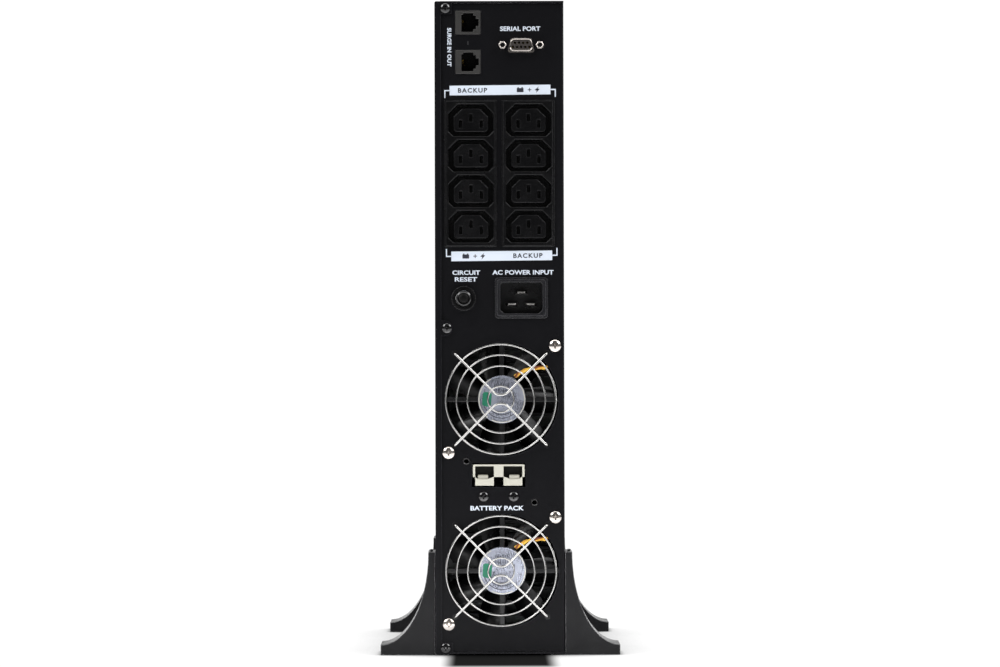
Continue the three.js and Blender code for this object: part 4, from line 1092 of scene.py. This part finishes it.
def make_print():
    """Plain functional words and icons in white, where the panel carries its printing."""
    upper = strip(0.6, UNDERSIDE + 377.4, 47.3, 5.6, -1)
    lower = strip(1.5, UNDERSIDE + 266.3, 9.7, 41.5, 1)
    white = [*upper[0], *lower[0]]
    white += [lettering(text, x, UNDERSIDE + z, width, cap) for text, x, z, width, cap in WORDS]
    white.append(lettering("SURGE IN OUT", -33.3, UNDERSIDE + 406.2, 25.9, 2.8, turn=math.pi / 2))
    piece("panel_print_white", white, "print_white", sharp=30.0)
    piece("panel_print_ink", [*upper[1], *lower[1]], "print_dark", sharp=30.0)
    arrow = [stroke([(-20.8, UNDERSIDE + 409.9), (-20.8, UNDERSIDE + 407.9)], 0.5)]
    piece("panel_print_arrow", arrow, "print_grey")


# ---- display ----
DIAL_RADIUS = 33.5
LOAD_BARS = 5
BUTTON_ROW = 17  # below the dial's middle
BUTTONS = {"button_power": 15, "button_select": 0, "button_enter": -15}


def make_display():
    """Dial, glass, numbers and buttons, which are drawn facing -Y and then turned about the dial's face."""
    dial, window = span("display_dial"), span("display_window")
    x, z, face = dial.mid.x, dial.mid.z, dial.high.y
    window_z = window.mid.z
    row = z - BUTTON_ROW

    def mirrored(solids):
        return turned(solids, (x, face, 0), math.pi, "Z")

    recess = Area(footprint(window, 1.8, 0.8, 0.8), face + 1.5, edge=0.3)
    holes = [Area(circle(x + u, row, 4.3, 40), edge=0.35) for u in BUTTONS.values()]
    plate = relief(circle(x, z, DIAL_RADIUS, 128), face, face + 4, [recess, *holes], edge=0.9)
    inner, flange = DIAL_RADIUS - 3, dial.size.x / 2
    ledge, back = face + 1.5 + GAP, 2 * face - dial.low.y
    skirt = lathe(x, z, [(inner, face + 3.5), (DIAL_RADIUS, face + 3.5), (DIAL_RADIUS, ledge),
                         (flange, ledge), (flange, ledge + 3), (DIAL_RADIUS, ledge + 3), (DIAL_RADIUS, back),
                         (inner, back)], 128)
    stand_in("display_dial", mirrored([plate, skirt]), "bezel_gloss", "display")
    front = 2 * face - window.high.y
    glass = relief(footprint(window, 1.4), front, front + window.size.y, edge=0.25)
    stand_in("display_window", mirrored([glass]), "lcd", "display")
    line_z, numbers_z, bars_z = window_z + 8.5, window_z + 3.8, window_z - 7
    segments = [stroke([(x - 16, line_z), (x + 16, line_z)], 0.5, front)]
    for i in range(LOAD_BARS):
        height = 1.5 + 1.4 * i
        shown_bar = rect(x - 12 + i * 6, bars_z + height / 2, 3.6, height, 0.2, 2)
        segments.append(print_shape(shown_bar, front))
    segments.append(lettering("230", x - 8, numbers_z, 12, 5.2, front))
    segments.append(lettering("50", x + 9, numbers_z, 8, 5.2, front))
    piece("display_segments", mirrored(segments), "lcd_ink", "display")
    for node, u in BUTTONS.items():
        at = span(node)
        tip = 2 * face - at.high.y
        end = tip + at.size.y
        cap = lathe(x + u, row, [(0, tip + 0.5), (1.6, tip + 0.38), (2.7, tip + 0.12), (3.3, tip),
                                 (3.75, tip + 0.12), (4.0, tip + 0.5), (4.0, end - 2), (5.2, end - 2),
                                 (5.2, end), (0, end)], 40)
        stand_in(node, mirrored([cap]), "button", node)


# ---- CAD nodes that stay ----
def dress_cad():
    for node in ("chassis_base", "top_cover", "front_frame"):
        dress(node, "powder_coat", 0.25)
    for node in ("front_bezel", "battery_door"):
        dress(node, "bezel", 0.6, 3)
    for number in range(1, 5):
        dress(f"battery_{number}", "battery", 0.5)
    for node, material, edge in (
        ("bay_divider", "zinc", 0.2), ("battery_tray", "zinc", 0.0), ("main_board", "board", 0.2),
        ("power_transformer", "core", 0.4), ("boost_choke", "winding", 0.0), ("bus_capacitor", "sleeve", 0.6),
        ("heatsink", "anodised_painted_shade", 0.0),
    ):
        dress(node, material, edge)


# ---- studio, in metres ----
FLOOR_SIZE = 40.0
FLOOR_WHITE = 1.05
FLOOR_COLOUR = (0.85, 0.85, 0.86, 1)
ROOM_LIGHT = 0.11
SHADOW_REACH = 0.10  # how far the floor darkens towards the object
MIRROR_SIDE = (0.029, 0.041)  # the soft edge of the panel's dark reflection in the floor, from the middle
MIRROR_END = (0.19, 0.13)  # where the reflection has gone and where it is still whole, in front of the panel
MIRROR_VIEW = (0.93, 0.99)  # it only shows from almost straight ahead and low down, as a mirror image does
MIRROR_DEPTH = 0.985


def floor_glow(tree):
    """The camera's view of the floor: an even white, with a painted shadow close to the object and a painted
    reflection of the panel.
    """
    def ramp(value, start, end, low, high):
        return map_range(tree, value, start, end, low, high, "SMOOTHSTEP")

    closeness = add_node(tree, "AmbientOcclusion", {"Distance": SHADOW_REACH})
    level = ramp(closeness.outputs["AO"], 0.25, 0.93, 0.02, FLOOR_WHITE)
    place = add_node(tree, "SeparateXYZ", {"Vector": add_node(tree, "TexCoord").outputs["Object"]})
    to_eye = add_node(tree, "SeparateXYZ", {"Vector": add_node(tree, "NewGeometry").outputs["Incoming"]})
    ends = [PANEL * MM - reach for reach in MIRROR_END]
    across = ramp(calculate(tree, "ABSOLUTE", place.outputs["X"]), *MIRROR_SIDE, 1.0, 0.0)
    ahead = ramp(place.outputs["Y"], *ends, 0.0, 1.0)
    panel_side = calculate(tree, "LESS_THAN", place.outputs["Y"], 0.0)
    facing = calculate(tree, "MULTIPLY", to_eye.outputs["Y"], -1.0)
    mirrored = ramp(facing, *MIRROR_VIEW, 0.0, MIRROR_DEPTH)
    for share in (across, ahead, panel_side):
        mirrored = calculate(tree, "MULTIPLY", mirrored, share)
    strength = calculate(tree, "MULTIPLY", level, calculate(tree, "SUBTRACT", 1.0, mirrored))
    return add_node(tree, "Emission", {"Strength": strength}).outputs["Emission"]


def make_floor():
    """A wide white floor that is matte for the light, and for the camera evenly bright apart from its painted
    shadow and painted reflection.
    """
    mesh = bpy.data.meshes.new("floor")
    corners = [(x * FLOOR_SIZE, y * FLOOR_SIZE, 0) for x, y in ((-1, -1), (1, -1), (1, 1), (-1, 1))]
    mesh.from_pydata(corners, [], [(0, 1, 2, 3)])
    material = bpy.data.materials.new("floor_white")
    material.use_nodes = True
    tree = material.node_tree
    tree.nodes.remove(tree.nodes["Principled BSDF"])
    matte = add_node(tree, "BsdfDiffuse", {"Color": FLOOR_COLOUR}).outputs["BSDF"]
    to_camera = add_node(tree, "LightPath").outputs["Is Camera Ray"]
    mix = add_node(tree, "MixShader", {"Fac": to_camera, 1: matte, 2: floor_glow(tree)})
    set_inputs(tree, tree.nodes["Material Output"], {"Surface": mix.outputs["Shader"]})
    mesh.materials.append(material)
    new_object("floor", mesh)


def make_world():
    """White behind the object, and a dim grey room as light."""
    world = bpy.data.worlds.new("studio")
    bpy.context.scene.world = world
    world.use_nodes = True
    tree = world.node_tree
    to_camera = add_node(tree, "LightPath").outputs["Is Camera Ray"]
    strength = map_range(tree, to_camera, 0.0, 1.0, ROOM_LIGHT, FLOOR_WHITE)
    set_inputs(tree, tree.nodes["Background"], {"Color": (1, 1, 1, 1), "Strength": strength})


def area_light(name, place, aim, size, watts, shown=True):
    light = bpy.data.lights.new(name, "AREA")
    light.shape = "RECTANGLE"
    light.size, light.size_y = size
    light.energy = watts
    lamp = new_object(name, light)
    lamp.location = place
    lamp.visible_camera = shown
    lamp.rotation_euler = (Vector(aim) - Vector(place)).to_track_quat("-Z", "Y").to_euler()


def make_lights():
    """Softboxes left and right of the panel and of the display, strips along the sides and one overhead.

    A bright backdrop and a white sheet in front of the panel throw light back, as they do in a studio."""
    middle = (CAD_BOUNDS[0] + CAD_BOUNDS[1]) / 2
    for name, side in BOTH_SIDES:
        area_light(f"softbox_{name}", (side * 1.2, -1.05, 1.45), middle, (0.9, 1.0), 22)
        area_light(f"strip_{name}", (side * 1.3, 0.1, 0.65), middle, (0.5, 1.3), 14)
        area_light(f"front_softbox_{name}", (side * 1.2, 1.3, 1.0), middle, (1.5, 1.5), 26)
    area_light("overhead", (0.0, 0.0, 1.9), middle, (1.6, 1.6), 28)
    area_light("backdrop", (0.0, 2.6, 0.5), (0.0, 0.0, 0.5), (3.0, 1.0), 14, shown=False)
    sheet = PANEL * MM - 0.09
    area_light("sheet", (0.0, sheet, 0.004), (0.0, sheet + 0.3, 1.0), (0.3, 0.12), 0.32, shown=False)


CAMERA_DISTANCE = 3.75
LENS_PER_METRE = 53.766  # focal length in mm for each metre of distance
CAMERA_ROLL = math.radians(-0.14)


def make_camera():
    """A long lens looking at the connector panel, a little below its middle height."""
    rear = Vector((0, PANEL * MM, 0))
    place = rear + Vector((-0.0075, -CAMERA_DISTANCE, 0.177))
    aim = rear + Vector((0.0002, 0, 0.2153))
    data = bpy.data.cameras.new("camera")
    data.sensor_width = 36
    data.lens = LENS_PER_METRE * CAMERA_DISTANCE
    data.clip_end = 100
    camera = new_object("camera", data)
    turn = (aim - place).to_track_quat("-Z", "Y").to_matrix().to_4x4()
    camera.matrix_world = Matrix.Translation(place) @ turn @ Matrix.Rotation(CAMERA_ROLL, 4, "Z")
    bpy.context.scene.camera = camera


make_metals()
make_plastics()
make_paints()
dress_cad()
make_screws()
make_spare_holes()
make_outlets()
make_inlet()
make_jacks()
make_serial()
make_battery_port()
make_breaker()
for fan_place in ("upper", "lower"):
    make_fan(fan_place)
make_feet()
make_print()
make_display()
make_floor()
make_world()
make_lights()
make_camera()
bpy.context.scene.view_settings.view_transform = "Standard"
